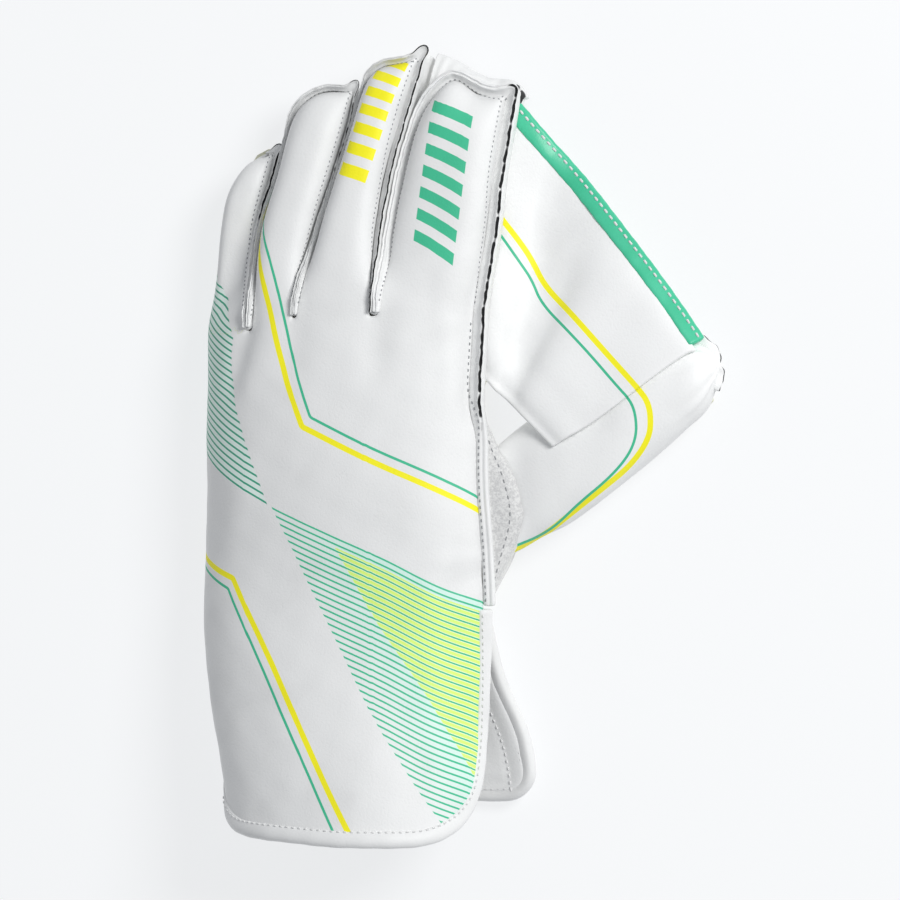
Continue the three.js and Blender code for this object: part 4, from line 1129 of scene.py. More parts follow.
def make_flange(name, path, width, seed, room, upright, pointed, bare, start):
    """A sewn seam that stands up: two plies with their raw edges between them, and a wavy top."""
    along = np.arange(len(path)) * FLANGE_STEP
    ends = np.minimum(ease(along / 7), 1 if upright.min() < 1 else ease((along[-1] - along) / 7))
    height = (0.45 + 0.55 * ends[:, None]) * start
    sections = []
    for shape, sway, spread in ((FLAT_STRIP, 0.1, 1.0), (UPRIGHT, 0.34, room)):
        shape_rise = shape["rise"][None]
        top = np.clip(shape_rise, 0, None) / 3 * sway
        across = (shape["ply"][None] * width[:, None] + shape["out"][None] * spread) * start
        across = across + top * 1.2 * wave(along, seed, 11.3, 23.1, 4.9, 3.3)[:, None]
        rise = shape_rise * np.where(shape_rise > 0, height, 1)
        rise = rise + top * wave(along, seed + 1.7, 7.9, 19.3, 3.7)[:, None]
        sections.append((across, rise))
    across, rise = (lerp(flat, stand, upright[:, None]) for flat, stand in zip(*sections))
    across = across + (UPRIGHT["rise"][None] > 1.5) * pointed[:, None]
    piece = sweep(name, path, outward(path), UP, across, rise)
    raw = lerp(FLAT_STRIP["raw"][None], UPRIGHT["raw"][None], upright[:, None])
    raw = raw * (bare * (0.86 + 0.62 * wave(along, seed + 9, 3.1, 4.7, 8.3)))[:, None]
    put_field(piece, "raw_edge", raw.ravel())
    dress(piece, "grained_leather")
    return piece


def index_rim():
    """The index finger's rim, which goes on down the side of the hand to the cuff's vent."""
    index = FINGERS[-1]
    path, width = flange_rim(index)
    v = np.linspace(1, 0.4, 120)[1:]
    down, inner = (back_point(np.ones_like(v), v, inset) for inset in (0, index["inset"][1]))
    kept = down[:, 1] > VENT_TOP * KNUCKLE_Y + 6
    down, inner = down[kept], inner[kept]
    side = even_steps(np.concatenate((path[-1:], down)), FLANGE_STEP)[1:]
    widths = np.interp(-side[:, 1], -down[:, 1], np.linalg.norm((down - inner)[:, :2], axis=1))
    return soften(np.concatenate((path, side)), 4), soften(np.concatenate((width, widths)), 4)


def make_flanges():
    made = []
    for number, finger in enumerate(FINGERS):
        name = finger["name"]
        if name == "index":
            path, width = index_rim()
        else:
            path, width = flange_rim(finger, start=0.0 if number else PINKY_FLANGE_START)
        steps = np.arange(len(path))
        past_tip = steps > np.argmax(path[:, 1])
        upright = np.where(past_tip, ease((path[:, 1] / GLOVE_LENGTH - 0.5) / 0.06), 1.0)
        gap = np.where(past_tip, finger["gaps"][1] or 2.4, finger["gaps"][0] or 2.4)
        room = soften(np.clip(gap / 1.6, 0.62, 1.25), 12)[:, None]
        before, past, ends_at = RAW[name]
        bare = np.where(steps >= corner_of(path) - 2,
                        past * (0.25 + 0.75 * ease((path[:, 1] - ends_at) / 8)), before)
        # The little finger's seam grows slowly out of its leather.
        start = np.ones(len(path)) if number else 0.14 + 0.86 * ease(steps * FLANGE_STEP / 11)
        piece = make_flange(name + "_flange", path, width, number * 2 + 1.0, room, upright,
                            point_out(path, name), soften(bare, 6), start[:, None])
        made.append(ride_as(piece, "seam_leather", name + "_lip"))
    return made


def wall_piece(name, path, node, seed, raised=0.0, tuck=0.0):
    """A soft upright wall under a rim, down to the palm's face, that bulges a little and creases. Its top
    may be raised, and its foot tucked in, along the path."""
    levels = np.linspace(0, 1, 9)[None]
    along = np.arange(len(path)) * WALL_STEP
    z = lerp((path[:, 2] - WALL_DROP + raised)[:, None], FACING + CLEARANCE, levels)
    swell = 0.5 * np.sin(np.pi * levels) + 0.28 * wave(along, seed, 6.1, 9.7)[:, None] * levels - 0.1
    swell = swell - np.broadcast_to(tuck, len(path))[:, None] * levels ** 1.5
    p = np.concatenate((path[:, None, :2] + outward(path)[:, None, :2] * swell[..., None], z[..., None]), -1)
    piece = new_piece(name, p, grid_faces(*z.shape, flip=True))
    give_wall(piece, SOFT_WALL)
    dress(piece, "grained_leather", "knit_lining")
    leave_no_raw_edge(piece)
    return ride_as(piece, "seam_leather", node)


# The palm side's leather behind the index finger's tip: its border's places from the slit to the web.
TIP_FOLD = table("x y", (85, 288.5), (89, 287), (93, 285), (98, 281.6), (104, 279), (108.5, 278.8),
                 (112, 278.6), (115.5, 276.2), (118, 272))
TIP_FOLD_FROM = 262


def make_tip_fold():
    """The palm side's leather, where it shows past the index finger's tip."""
    along = np.linspace(0, 1, 60)
    keys = np.linspace(0, 1, len(TIP_FOLD["x"]))
    border = soften(np.stack([np.interp(along, keys, TIP_FOLD[column]) for column in "xy"], -1), 8)
    inner = rim_path(FINGERS[-1])
    inner = even_steps(inner[inner[:, 1] > TIP_FOLD_FROM], 0.5)
    inner = inner[np.linspace(0, len(inner) - 1, len(along)).astype(int)]
    section = table("share z raw", (0, 17, 0), (0.25, 16.6, 0), (0.5, 15.8, 0.3), (0.75, 14.6, 0.9),
                    (1, 12.4, 1), (1, 9, 0.4), (1, 6, 0), (1, FACING + CLEARANCE, 0))
    share = section["share"][None]
    z = section["z"][None] + 0.5 * wave(along * 60, 2.0, 13, 7)[:, None] * share * (1.6 - share)
    flat = lerp(inner[:, None, :2], border[:, None], share[..., None])
    piece = new_piece("index_palm_fold", np.concatenate((flat, z[..., None]), -1),
                      grid_faces(*z.shape, flip=True))
    dark = ease((along - 0.8) / 0.08) * (0.9 + 0.5 * wave(along * 60, 5.0, 5, 9))
    put_field(piece, "raw_edge", (dark[:, None] * section["raw"][None]).ravel())
    give_wall(piece, SOFT_WALL, lined=False)
    dress(piece, "grained_leather")
    return ride_as(piece, "seam_leather")


def make_walls():
    made = []
    for number, (left, right) in enumerate(zip(FINGERS[:-1], FINGERS[1:])):
        first = rim_path(left, left=False) if number else rim_path(left, start=PINKY_WALL_START)
        path = np.concatenate((first, rim_path(right, right=False)))
        path = soften(even_steps(path, WALL_STEP), 3)
        raised = 0.0 if number else 1.3 * (1 - ease(np.arange(len(path)) * WALL_STEP / 26))
        name = f"{left['name']}_{right['name']}"
        made.append(wall_piece(name + "_wall", path, name + "_gusset", number + 3.0, raised=raised))
    path = rim_path(FINGERS[-1], left=False)
    y = np.linspace(path[-1, 1] / GLOVE_LENGTH, GUSSET_TOP, 24)[1:]
    lower = side_point(y, 0.0) + (0, 0, 2.7)
    path = soften(even_steps(np.concatenate((path, lower)), WALL_STEP), 3)
    made.append(wall_piece("index_outer_wall", path, "index_side_wall", 6.0,
                           tuck=5 * ease((KNUCKLE_Y - path[:, 1]) / 20)))
    return made


def copy_node(name, node):
    """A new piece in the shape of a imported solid, its triangles joined into whole faces."""
    mesh = bpy.data.meshes.new(name)
    shape = bmesh.new()
    shape.from_mesh(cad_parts[node].data)
    bmesh.ops.remove_doubles(shape, verts=shape.verts, dist=0.00001)
    bmesh.ops.join_triangles(shape, faces=shape.faces, angle_face_threshold=0.5, angle_shape_threshold=0.9)
    places_now = [vert.co[:] for vert in shape.verts]
    shape.verts.index_update()
    faces = [[vert.index for vert in face.verts] for face in shape.faces]
    shape.free()
    mesh.from_pydata(places_now, [], faces)
    mesh.update()
    piece = bpy.data.objects.new(name, mesh)
    bpy.context.scene.collection.objects.link(piece)
    return piece


# Behind the web the palm's edge is drawn in by up to this much, so that it doesn't show past the thumb.
PALM_DRAWN_IN = 7.2


def make_facings():
    """The rubber faces of the palm and the thumb, with soft edges."""
    for name, node in (("palm_rubber_face", "palm_facing"), ("thumb_rubber_face", "thumb_facing")):
        piece = copy_node(name, node)
        p = places(piece)
        behind = bell(p[:, 1], 0.54 * GLOVE_LENGTH, 19) * ease((p[:, 0] - 84) / 18) * (p[:, 0] < 112)
        p[:, 0] -= PALM_DRAWN_IN * behind
        move(piece, p)
        bevel = piece.modifiers.new("soft_edge", "BEVEL")
        bevel.width = 0.0009
        bevel.segments = 3
        bevel.limit_method = "ANGLE"
        bevel.angle_limit = math.radians(40)
        apply_modifiers(piece)
        smooth_below(piece, 35)
        give_materials(piece, "pimpled_rubber")
        ride_as(piece, "palm_rubber", node)


THUMB_SIDES = 44
THUMB_TURNS = -2 * np.pi * np.arange(THUMB_SIDES) / THUMB_SIDES


def thumb_loop(t, grow=0.0):
    """Loops of points round the thumb, one for each t."""
    return thumb_point(np.asarray(t, float)[:, None], THUMB_TURNS[None], grow)


def make_thumb():
    """The thumb's leather, with pleats gathered at its tip."""
    t = np.linspace(THUMB_START, 1, 62)
    outer = thumb_loop(t)
    middle = outer.mean(axis=1, keepdims=True)
    t, turn = t[:, None], THUMB_TURNS[None]
    pleats = ease((t - 0.76) / 0.2) * (0.45 * np.sin(9 * turn) + 0.3 * np.sin(14 * turn + 1.3))
    soft = 0.3 * np.sin(2 * turn + 5 * t) + 0.22 * np.sin(3 * turn - 17 * t + 1)
    root = ease((0.35 - t) / 0.2) * 0.4 * np.sin(26 * t + 2 * np.sin(turn))
    outer = outer + unit(outer - middle) * (pleats + soft + root)[..., None]
    last = outer[-1]
    centre = last.mean(axis=0)
    cap = [centre + (last - centre) * scale + THUMB_ALONG * push
           for scale, push in ((0.8, 0.9), (0.52, 1.5), (0.22, 1.7))]
    loops = np.concatenate((outer, cap))
    count = len(loops) * THUMB_SIDES
    rim = np.arange(THUMB_SIDES) + count - THUMB_SIDES
    faces = grid_faces(len(loops), THUMB_SIDES, closed=True)
    faces += [(int(a), int(b), count) for a, b in zip(rim, np.roll(rim, -1))]
    end = centre + THUMB_ALONG * 1.8
    piece = new_piece("thumb_skin", np.concatenate((loops.reshape(-1, 3), [end])), faces)
    face_outwards(piece)
    give_wall(piece, SOFT_WALL)
    dress(piece, "striped_leather", "knit_lining")
    print_web(piece)
    return ride_as(piece, "white_leather", "thumb_stall")


def make_thumb_flange():
    """The crumpled raw seam at the thumb's tip."""
    low, high = np.linspace(0.985, 1, 6), np.linspace(1, 0.86, 30)
    path = np.concatenate((thumb_point(low, 0.0), thumb_point(high[1:], np.pi)))
    path = soften(even_steps(path, FLANGE_STEP), 4)
    along = np.arange(len(path)) * FLANGE_STEP
    section = table("out rise raw", (-0.6, -1.3, 0), (0.3, -1.6, 0), (1.6, -1.45, 0), (2.6, -1.2, 0.3),
                    (2.9, -0.8, 0.8), (2.3, -0.25, 1), (2.3, 0.25, 1), (2.9, 0.8, 0.8), (2.6, 1.2, 0.3),
                    (1.6, 1.45, 0), (0.3, 1.6, 0), (-0.6, 1.3, 0))
    ends = np.minimum(ease((along + 2) / 8), ease((along[-1] + 2 - along) / 8))
    far = np.clip(section["out"], 0, 3)[None] / 3
    across = section["out"][None] * lerp(0.35, 1, ends)[:, None]
    across = across + far * (0.4 + 0.8 * wave(along, 4.0, 4.1, 6.7))[:, None]
    rise = section["rise"][None] + far * 1.1 * wave(along, 2.0, 5.3, 8.9)[:, None]
    piece = sweep("thumb_flange", path, -outward(path), UP, across, rise)
    raw = section["raw"][None] * (0.75 + 0.5 * wave(along, 6.0, 3.7, 6.1))[:, None]
    put_field(piece, "raw_edge", raw.ravel())
    # The lighter copy of the leather, painted light.
    dress(piece, "painted_light_leather")
    return ride_as(piece, "seam_leather", "thumb_lip")


def face_towards(piece, axis):
    """Turns a sheet's faces so that most of them look along an axis."""
    if normals(piece)[:, axis].mean() < 0:
        edit_all(piece, bpy.ops.mesh.flip_normals)


def make_web():
    """The web's leather, with a crease along its lower corner and two soft folds across it."""
    s, t = np.linspace(0, 1, 62)[None], np.linspace(0, 1, 50)[:, None]
    p = web_point(s, t)
    lift = -0.8 * bell(t, 0.03, 0.035) + 0.5 * bell(t, 0.13, 0.08)
    lift = lift - 1.1 * bell(s - 0.1 * (t - 0.5), 0.42, 0.07) * np.sin(np.pi * t) ** 0.7
    lift = lift + 0.8 * bell(s - 0.16 * (t - 0.5), 0.6, 0.1) * np.sin(np.pi * t)
    piece = new_piece("web_skin", p, grid_faces(*lift.shape))
    face_towards(piece, 2)
    p = p.reshape(-1, 3)
    move(piece, p + normals(piece) * (lift.ravel() + 0.25 * ripple(p, 2.2, 23))[:, None])
    give_wall(piece, WEB_THICKNESS * 0.9, lined=False)
    dress(piece, "striped_leather")
    print_web(piece)
    return ride_as(piece, "white_leather", "web_panel")


def web_edge(s):
    """The web's free edge, with the directions out of the web and up from it."""
    path = web_point(s, 1.0)
    d = directions(path)
    rise = unit(np.cross(d, unit(path - web_point(s, 0.95))))
    return path, np.cross(rise, d), rise


def make_web_trim():
    """The green leather folded over the web's free edge."""
    path, out, rise = web_edge(np.linspace(0, 0.975, 110))
    section = table("out rise", (-1.3, -1.4), (0.4, -1.6), (3.2, -1.7), (4.7, -1.35), (5.3, -0.6),
                    (5.4, 0.3), (5.1, 1.1), (4.3, 1.55), (3.3, 1.4), (2.2, 1.65), (0.4, 1.8), (-1.1, 1.75),
                    (-1.65, 1.3), (-1.5, 0.9), (-0.3, 0.7), (-0.3, -0.7), (-1.4, -0.9))
    uneven = 0.1 * wave(np.arange(len(path)) * 1.4, 3.0, 6.1, 14.3)
    piece = sweep("web_green_trim", path - rise * WEB_THICKNESS / 2, out, rise,
                  section["out"][None] + uneven[:, None], section["rise"][None])
    dress(piece, "trim_leather")
    return ride_as(piece, "green_trim", "web_trim")


def make_gusset():
    """The suede between hand and thumb, with the thumb's mouth cut out of it."""
    y, t = np.linspace(GUSSET_TOP, WRIST, 64)[:, None], np.linspace(0, 1, 26)[None]
    p = side_point(y, t)
    p[..., 0] += (0.5 * ripple(p, 3.1, 19) + 0.3 * ripple(p, 5.2, 8)) * np.sin(np.pi * t) ** 0.5
    piece = new_piece("suede_gusset", p, grid_faces(*p.shape[:2]))
    face_towards(piece, 0)
    give_wall(piece, SOFT_WALL * 0.9, lined=False)
    bore = loft("thumb_mouth", thumb_loop((-0.12, THUMB_START, 0.1, 0.2, 0.3, 0.42), CLEARANCE))
    cut = piece.modifiers.new("mouth", "BOOLEAN")
    cut.object = bore
    cut.operation = "DIFFERENCE"
    cut.solver = "EXACT"
    apply_modifiers(piece)
    bpy.data.objects.remove(bore)
    give_materials(piece, "napped_suede")
    smooth_below(piece, 50)
    return ride_as(piece, "grey_suede", "thumb_gusset")


# How far the palm flap's sewn channel lies from its border.
CHANNEL = 6.2
# The grid of the palm flap's faces.
FLAP_GRID = (34, 54)


def make_palm_cuff():
    """The palm side's padded flap: an upper and a lower face that meet at rounded borders."""
    rows, columns = FLAP_GRID
    across, v = np.linspace(0, 1, columns)[None], np.linspace(0, 1, rows)[:, None]
    face = flap_point(across, v)
    face[-1, :, 1] -= CLEARANCE
    edge = np.minimum(np.minimum(across, 1 - across) * HAND_WIDTH, v * 66 + 2.0)
    channel = bell(edge, CHANNEL, 1.1) * 0.6 + bell(edge, 17, 1.6) * 0.5
    quilting = 0.45 * bell(np.mod(across * 5, 1), 0.5, 0.06) * ease((edge - 13) / 4)
    crown = 0.35 * np.sin(np.pi * across) * np.sin(np.pi * v)
    up = face.copy()
    up[..., 2] += CUFF_PADDING + crown - channel - quilting + 0.2 * ripple(face, 2.7, 21)
    count = rows * columns
    grid = np.arange(count).reshape(rows, columns)
    border = np.concatenate((grid[0], grid[1:, -1], grid[-1, -2::-1], grid[-2:0:-1, 0])).tolist()
    faces = grid_faces(rows, columns, count) + grid_faces(rows, columns, flip=True)
    faces += [(a, b, b + count, a + count) for a, b in zip(border, border[1:] + border[:1])]
    piece = new_piece("palm_cuff_pad", np.concatenate((face.reshape(-1, 3), up.reshape(-1, 3))), faces)
    leave_no_raw_edge(piece)
    # The lighter copy of the leather, painted light against the shade under the back's flap.
    dress(piece, "painted_light_leather")
    ride_as(piece, "white_leather", "palm_cuff")
    return piece


def roll_along(name, path, inside, wall, width, depth, node, seed):
    """A rolled edge that overlaps the leather's border on both sides."""
    d = directions(path)
    out = path - inside
    out = unit(soften(unit(out - d * (out * d).sum(axis=1)[:, None]), 6))
    rise = unit(np.cross(d, out))
    path = path - rise * wall / 2
    half, lap = depth / 2, 0.55
    shape = table("out rise", (-2.3, -half * 0.75), (-0.8, -half * 0.95), (width * 0.35, -half * 1.02),
                  (width * 0.72, -half * 0.86), (width * 0.95, -half * 0.42), (width * 1.0, 0.1),
                  (width * 0.95, half * 0.5), (width * 0.72, half * 0.92), (width * 0.35, half * 1.08),
                  (-0.3, half * 0.98), (-1.5, half * 0.82), (-2.3, half * 0.62),
                  (-2.35, wall / 2 - lap), (-2.35, -wall / 2 + lap))
    fat = 1 + 0.035 * wave(np.arange(len(path)) * BORDER_STEP, seed, 9.1, 23.7)[:, None]
    piece = sweep(name, path, out, rise, shape["out"][None] * fat, shape["rise"][None] * fat)
    leave_no_raw_edge(piece)
    dress(piece, "binding_leather")
    return ride_as(piece, "seam_leather", node), path, out, rise


def border_of(point, ends):
    """A flap's free border, from one side's end round its lower edge to the other, and points inside it."""
    top = np.linspace(0, ends, 70)
    across = np.linspace(0, 1, 160)
    edge = np.concatenate((
        np.stack((np.ones_like(top), top[::-1]), -1)[:-1],
        np.stack((across[::-1], np.zeros_like(across)), -1),
        np.stack((np.zeros_like(top), top), -1)[1:]))
    path = point(edge[:, 0], edge[:, 1])
    inside = point(np.clip(edge[:, 0], 0.03, 0.97), np.maximum(edge[:, 1], 0.06))
    run = run_of(path)
    at = np.linspace(0, run[-1], int(run[-1] / BORDER_STEP))
    return [soften(along_path(line, run, at), 6) for line in (path, inside)]


def make_bindings():
    """Both flaps' rolled edges, each with a row of stitches beside it."""
    for side, point, ends, base, wall, width, depth, lift, seed in (
            ("back", back_point, VENT_TOP, 0, LEATHER_WALL, ROLL_WIDTH, 4.4, 2.2, 1.0),
            ("palm", flap_point, 0.9, CUFF_PADDING, CUFF_PADDING, ROLL_WIDTH * 0.75, 5.1, 3, 2.0)):
        path, inside = (line + base * UP for line in border_of(point, ends))
        piece, path, out, rise = roll_along(side + "_rolled_edge", path, inside, wall, width, depth,
                                            side + "_binding", seed)
        stitch_row(side + "_edge_stitches", path - out * 1.75 + rise * lift, [piece], "edge")


def make_stitch(length, radius):
    """One stitch: a short round thread whose ends dip, with all its sizes in millimetres."""
    bpy.ops.object.select_all(action="DESELECT")
    bpy.ops.mesh.primitive_cylinder_add(vertices=6, radius=radius, depth=length, end_fill_type="TRIFAN",
                                        rotation=(0, math.pi / 2, 0))
    stitch = bpy.context.active_object
    bpy.ops.object.transform_apply(location=True, rotation=True, scale=True)
    for x in (length / 3.2, -length / 3.2):
        edit_all(stitch, bpy.ops.mesh.bisect, plane_co=(x, 0, 0), plane_no=(1, 0, 0))
    co = vectors(stitch.data.vertices, "co")
    end = np.abs(co[:, 0]) > length * 0.45
    co[end, 1:] *= 0.5
    co[end, 2] -= radius * 0.9
    faces = [tuple(face.vertices) for face in stitch.data.polygons]
    bpy.data.objects.remove(stitch)
    return co, faces


# Each kind of stitch: its thread, how far apart its copies lie, its length and its radius.
STITCHES = {
    # The grey thread's darkness is partly painted shade of the needle holes it sits in.
    "seam": ("grey_thread", 1.85, 0.9, 0.23),
    "side": ("grey_thread", 2.4, 1.2, 0.26),
    "gusset": ("grey_thread", 3.0, 1.6, 0.24),
    "edge": ("white_thread", 2.5, 1.35, 0.34),
    "channel": ("white_thread", 2.6, 1.5, 0.34),
    "web": ("white_thread", 3.05, 2.1, 0.46),
}
# Stitches are let down from this high, by at most this much, in millimetres.
DROP_FROM, DROP = 40, 75


def stitch_row(name, path, onto, kind, lift=0.1, slot="seam_leather"):
    """Copies of one stitch along a path, each let down onto the topmost of the given pieces."""
    thread, pitch, length, radius = STITCHES[kind]
    co, faces = make_stitch(length, radius)
    path = even_steps(path, pitch)
    trees = [BVHTree.FromPolygons([vert.co[:] for vert in piece.data.vertices],
                                  [face.vertices[:] for face in piece.data.polygons]) for piece in onto]
    verts, all_faces = [], []
    for here, ahead in zip(path, directions(path)):
        start = Vector(to_frame(here + DROP_FROM * UP))
        hits = [tree.ray_cast(start, Vector(-UP), DROP * MM) for tree in trees]
        hits = [hit for hit in hits if hit[0] is not None]
        if not hits:
            continue
        spot, normal = min(hits, key=lambda hit: hit[3])[:2]
        up = np.array(normal)
        ahead = unit(np.cross(np.cross(up, ahead), up))
        side = np.cross(up, ahead)
        spot = np.array(spot) / MM + ORIGIN + up * lift
        first = len(verts) * len(co)
        verts.append(spot + co[:, :1] * ahead + co[:, 1:2] * side + co[:, 2:] * up)
        all_faces += [tuple(first + i for i in face) for face in faces]
    piece = new_piece(name, np.concatenate(verts), all_faces)
    give_materials(piece, thread)
    return ride_as(piece, slot)


def sew_flanges(flanges, back):
    """Fine grey stitches in the leather on the inner side of each upright seam, and down the hand's side."""
    for number, (finger, flange) in enumerate(zip(FINGERS, flanges)):
        path, width = flange_rim(finger, start=0.0 if number else PINKY_STITCH_START)
        inner = path - outward(path) * (width + 0.3)[:, None]
        stitch_row(finger["name"] + "_seam_stitches", inner[4:-3], [flange, back], "seam", lift=0.02)
    y = np.linspace(0.652, VENT_TOP * 0.663 + 0.03, 80)
    path = back_section(y, 1.0)
    path[:, 0] += lerp(-4.3, 0.6, ease((0.575 - y) / 0.05))
    stitch_row("hand_side_stitches", path, [flanges[-1], back], "side")


def sew_web(trim):
    path, out, _ = web_edge(np.linspace(0.03, 0.955, 120))
    stitch_row("web_trim_stitches", path + out * 3.3, [trim], "web", slot="green_trim")


def sew_gusset(gusset):
    path = side_point(np.linspace(0.545, 0.335, 60), 0.22)
    stitch_row("gusset_stitches", path, [gusset], "gusset", slot="grey_suede")


def sew_palm_cuff(pad):
    border = flap_point(np.full(40, 1 - CHANNEL / HAND_WIDTH), np.linspace(0.02, 1, 40))
    stitch_row("palm_channel_stitches", border, [pad], "channel")


# ---------------------------------------------------------------- the add-on


def colour_property(name, description, rgb):
    return bpy.props.FloatVectorProperty(name=name, description=description, default=rgb, size=3,
                                         min=0, max=1, subtype="COLOR_GAMMA")


def length_property(name, description, value):
    return bpy.props.FloatProperty(name=name, description=description, default=value, min=0.0001, max=0.1,
                                   precision=5, unit="LENGTH", subtype="DISTANCE")


class GloveColours(bpy.types.PropertyGroup):
    """The colours of the glove's leathers, prints, threads and rubber."""
    leather: colour_property("Leather", "White leather", (0.925, 0.927, 0.925))
    # A lighter copy of the white leather: painted light for the thumb, the web and the palm side, whose shade
    # it makes up for.
    leather_painted_light: colour_property("Pale leather", "White leather of thumb, web and palm side",
                                  (0.953, 0.955, 0.953))
    raw_edge: colour_property("Raw edge", "Cut edge of the seams' leather", (0.12, 0.125, 0.13))
    yellow: colour_property("Yellow", "Yellow stripes and bars", (0.99, 0.96, 0.14))
    green: colour_property("Green", "Green stripes, bars and web trim", (0.27, 0.755, 0.585))
    # Painted highlight on the web's trim.
    green_painted_highlight: colour_property("Pale green", "Light places of the web's trim", (0.325, 0.79, 0.635))
    green_dark: colour_property("Dark green", "Fine lines on the little finger's side", (0.25, 0.64, 0.52))
    mint: colour_property("Mint", "Tint between the cuff's fine lines", (0.845, 0.96, 0.92))
    mint_dark: colour_property("Grey mint", "Tint between the side's fine lines", (0.9, 0.965, 0.94))
    lime: colour_property("Lime", "Bright lines at the cuff's thumb side", (0.87, 0.985, 0.5))
    lime_pale: colour_property("Pale lime", "Ground between the bright lines", (0.94, 0.99, 0.82))
    suede: colour_property("Suede", "Grey suede", (0.88, 0.88, 0.875))
    suede_dark: colour_property("Suede shade", "Dark flecks in the suede", (0.78, 0.78, 0.78))
    rubber: colour_property("Rubber", "Palm rubber", (0.86, 0.86, 0.76))
    # Painted highlight on the pimples' domes.
    rubber_pimple_highlight: colour_property("Pimples", "The palm's pimples", (0.93, 0.93, 0.85))
    lining: colour_property("Lining", "Knitted lining", (0.85, 0.85, 0.84))
    # Painted shade in the knit's hollows.
    lining_hollow_shade: colour_property("Lining shade", "The knit's hollows", (0.62, 0.62, 0.62))
    thread: colour_property("Thread", "White thread", (0.95, 0.95, 0.95))
    # The seams' grey thread, whose darkness is partly painted shade of the needle holes.
    thread_grey: colour_property("Grey thread", "Thread of the seams", (0.63, 0.64, 0.65))
    floor: colour_property("Floor", "The pale floor", (0.97, 0.975, 0.98))


class GloveSizes(bpy.types.PropertyGroup):
    """Sizes of the prints, and of the camera's place and the light."""
    yellow_line: length_property("Yellow line", "Width of the yellow stripes", 0.00208)
    green_line: length_property("Green line", "Width of the green stripes", 0.00098)
    camera_distance: bpy.props.FloatProperty(name="Camera distance", default=2.4, min=0.5, max=10,
                                             unit="LENGTH", description="From the glove to the camera")
    camera_lean: bpy.props.FloatProperty(name="Camera lean", default=math.radians(13), subtype="ANGLE",
                                         description="How far the camera leans to the thumb side")
    key_power: bpy.props.FloatProperty(name="Key light", description="Power of the large soft light",
                                       default=15.5, min=0, unit="POWER")
    sky: bpy.props.FloatProperty(name="Surroundings", description="Brightness of the pale surroundings",
                                 default=0.4, min=0)


class GLOVE_OT_materials(bpy.types.Operator):
    """Make the leathers, suede, rubber, lining and threads"""
    bl_idname = "glove.materials"
    bl_label = "Materials"

    def execute(self, context):
        make_groups()
        make_materials(context.scene.glove_colours, context.scene.glove_sizes)
        return {"FINISHED"}


class GLOVE_OT_back(bpy.types.Operator):
    """Make the printed leather of the hand's back and the fingers"""
    bl_idname = "glove.back"
    bl_label = "Back"

    def execute(self, context):
        make_back()
        return {"FINISHED"}


class GLOVE_OT_walls(bpy.types.Operator):
    """Make the walls between the fingers"""
    bl_idname = "glove.walls"
    bl_label = "Finger walls"

    def execute(self, context):
        for piece in make_walls():
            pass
        make_tip_fold()
        return {"FINISHED"}


class GLOVE_OT_flanges(bpy.types.Operator):
    """Make the upright seams round the fingers, with their stitches"""
    bl_idname = "glove.flanges"
    bl_label = "Seams"

    def execute(self, context):
        sew_flanges(make_flanges(), bpy.data.objects["back_skin"])
        return {"FINISHED"}


class GLOVE_OT_palm(bpy.types.Operator):
    """Make the rubber faces of the palm and the thumb"""
    bl_idname = "glove.palm"
    bl_label = "Palm"

    def execute(self, context):
        make_facings()
        return {"FINISHED"}


class GLOVE_OT_thumb(bpy.types.Operator):
    """Make the thumb and its seam"""
    bl_idname = "glove.thumb"
    bl_label = "Thumb"

    def execute(self, context):
        make_thumb()
        make_thumb_flange()
        return {"FINISHED"}


class GLOVE_OT_web(bpy.types.Operator):
    """Make the web between finger and thumb, with its green trim"""
    bl_idname = "glove.web"
    bl_label = "Web"

    def execute(self, context):
        make_web()
        sew_web(make_web_trim())
        return {"FINISHED"}


class GLOVE_OT_gusset(bpy.types.Operator):
    """Make the suede between the hand and the thumb"""
    bl_idname = "glove.gusset"
    bl_label = "Suede gusset"

    def execute(self, context):
        piece = make_gusset()
        sew_gusset(piece)
        return {"FINISHED"}


class GLOVE_OT_cuff(bpy.types.Operator):
    """Make the palm side's padded cuff and both cuffs' rolled edges"""
    bl_idname = "glove.cuff"
    bl_label = "Cuff"

    def execute(self, context):
        sew_palm_cuff(make_palm_cuff())
        make_bindings()
        return {"FINISHED"}


# What the camera looks at, in the glove's frame; how wide the picture is there, in metres; and where the
# key light stands, seen from it.
TARGET = (92.8, 143.6, 25)
PICTURE_WIDTH = 0.32625
SENSOR_WIDTH = 36
KEY_SPOT = (0.9, 0.5, 1.06)
KEY_SIZE = 0.6
KEY_COLOUR = (1.0, 0.998, 0.99)
SKY_COLOUR = (0.93, 0.955, 1.0, 1)
FLOOR_SIZE = 8


def new_object(name, data, spot, turn):
    thing = bpy.data.objects.new(name, data)
    thing.location, thing.rotation_euler = spot, turn
    bpy.context.scene.collection.objects.link(thing)
    return thing


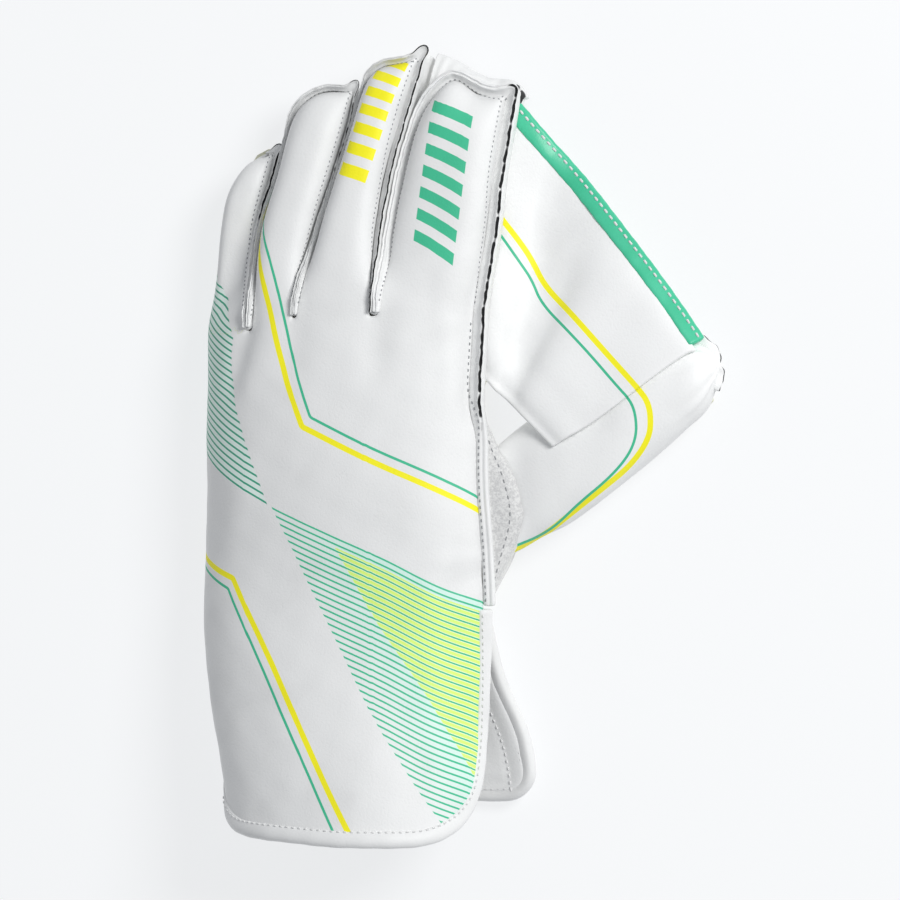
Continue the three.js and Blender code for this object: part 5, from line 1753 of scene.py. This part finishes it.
class GLOVE_OT_stage(bpy.types.Operator):
    """Set up the floor, the soft light and the camera"""
    bl_idname = "glove.stage"
    bl_label = "Stage"

    def execute(self, context):
        sizes = context.scene.glove_sizes
        bpy.ops.object.select_all(action="DESELECT")
        bpy.ops.mesh.primitive_plane_add(size=FLOOR_SIZE, location=(0, 0, 0))
        floor = context.active_object
        floor.name = "floor"
        give_materials(floor, "pale_floor")
        target, lean = Vector(to_frame(TARGET)), sizes.camera_lean
        lens = bpy.data.cameras.new("camera")
        lens.sensor_width = SENSOR_WIDTH
        lens.lens = SENSOR_WIDTH * sizes.camera_distance / PICTURE_WIDTH
        spot = target + Vector((math.sin(lean), 0, math.cos(lean))) * sizes.camera_distance
        context.scene.camera = new_object("camera", lens, spot, (0, lean, 0))
        lamp = bpy.data.lights.new("key", "AREA")
        lamp.shape, lamp.size, lamp.energy = "DISK", KEY_SIZE, sizes.key_power
        lamp.color = KEY_COLOUR
        away = Vector(KEY_SPOT)
        new_object("key", lamp, target + away, (-away).to_track_quat("-Z", "Y").to_euler())
        world = bpy.data.worlds.new("surroundings")
        world.use_nodes = True
        ground = world.node_tree.nodes["Background"]
        ground.inputs["Color"].default_value = SKY_COLOUR
        ground.inputs["Strength"].default_value = sizes.sky
        context.scene.world = world
        context.scene.view_settings.view_transform = "Standard"
        return {"FINISHED"}


OPERATORS = (GLOVE_OT_materials, GLOVE_OT_back, GLOVE_OT_walls, GLOVE_OT_flanges, GLOVE_OT_palm,
             GLOVE_OT_thumb, GLOVE_OT_web, GLOVE_OT_gusset, GLOVE_OT_cuff, GLOVE_OT_stage)


class GLOVE_PT_sidebar(bpy.types.Panel):
    """The glove's colours, sizes and steps"""
    bl_idname = "GLOVE_PT_sidebar"
    bl_label = "Wicketkeeping glove"
    bl_space_type = "VIEW_3D"
    bl_region_type = "UI"
    bl_category = "Glove"

    def draw(self, context):
        for group in (context.scene.glove_colours, context.scene.glove_sizes):
            box = self.layout.box()
            for name in group.bl_rna.properties.keys():
                if name not in ("rna_type", "name"):
                    box.prop(group, name)
        for operator in OPERATORS:
            self.layout.operator(operator.bl_idname)


CLASSES = (GloveColours, GloveSizes) + OPERATORS + (GLOVE_PT_sidebar,)


def register():
    for item in CLASSES:
        bpy.utils.register_class(item)
    bpy.types.Scene.glove_colours = bpy.props.PointerProperty(type=GloveColours)
    bpy.types.Scene.glove_sizes = bpy.props.PointerProperty(type=GloveSizes)


def unregister():
    del bpy.types.Scene.glove_sizes
    del bpy.types.Scene.glove_colours
    for item in reversed(CLASSES):
        bpy.utils.unregister_class(item)


def main():
    register()
    bpy.ops.glove.materials()
    bpy.ops.glove.back()
    bpy.ops.glove.walls()
    bpy.ops.glove.flanges()
    bpy.ops.glove.palm()
    bpy.ops.glove.thumb()
    bpy.ops.glove.web()
    bpy.ops.glove.gusset()
    bpy.ops.glove.cuff()
    bpy.ops.glove.stage()


if __name__ == "__main__":
    main()
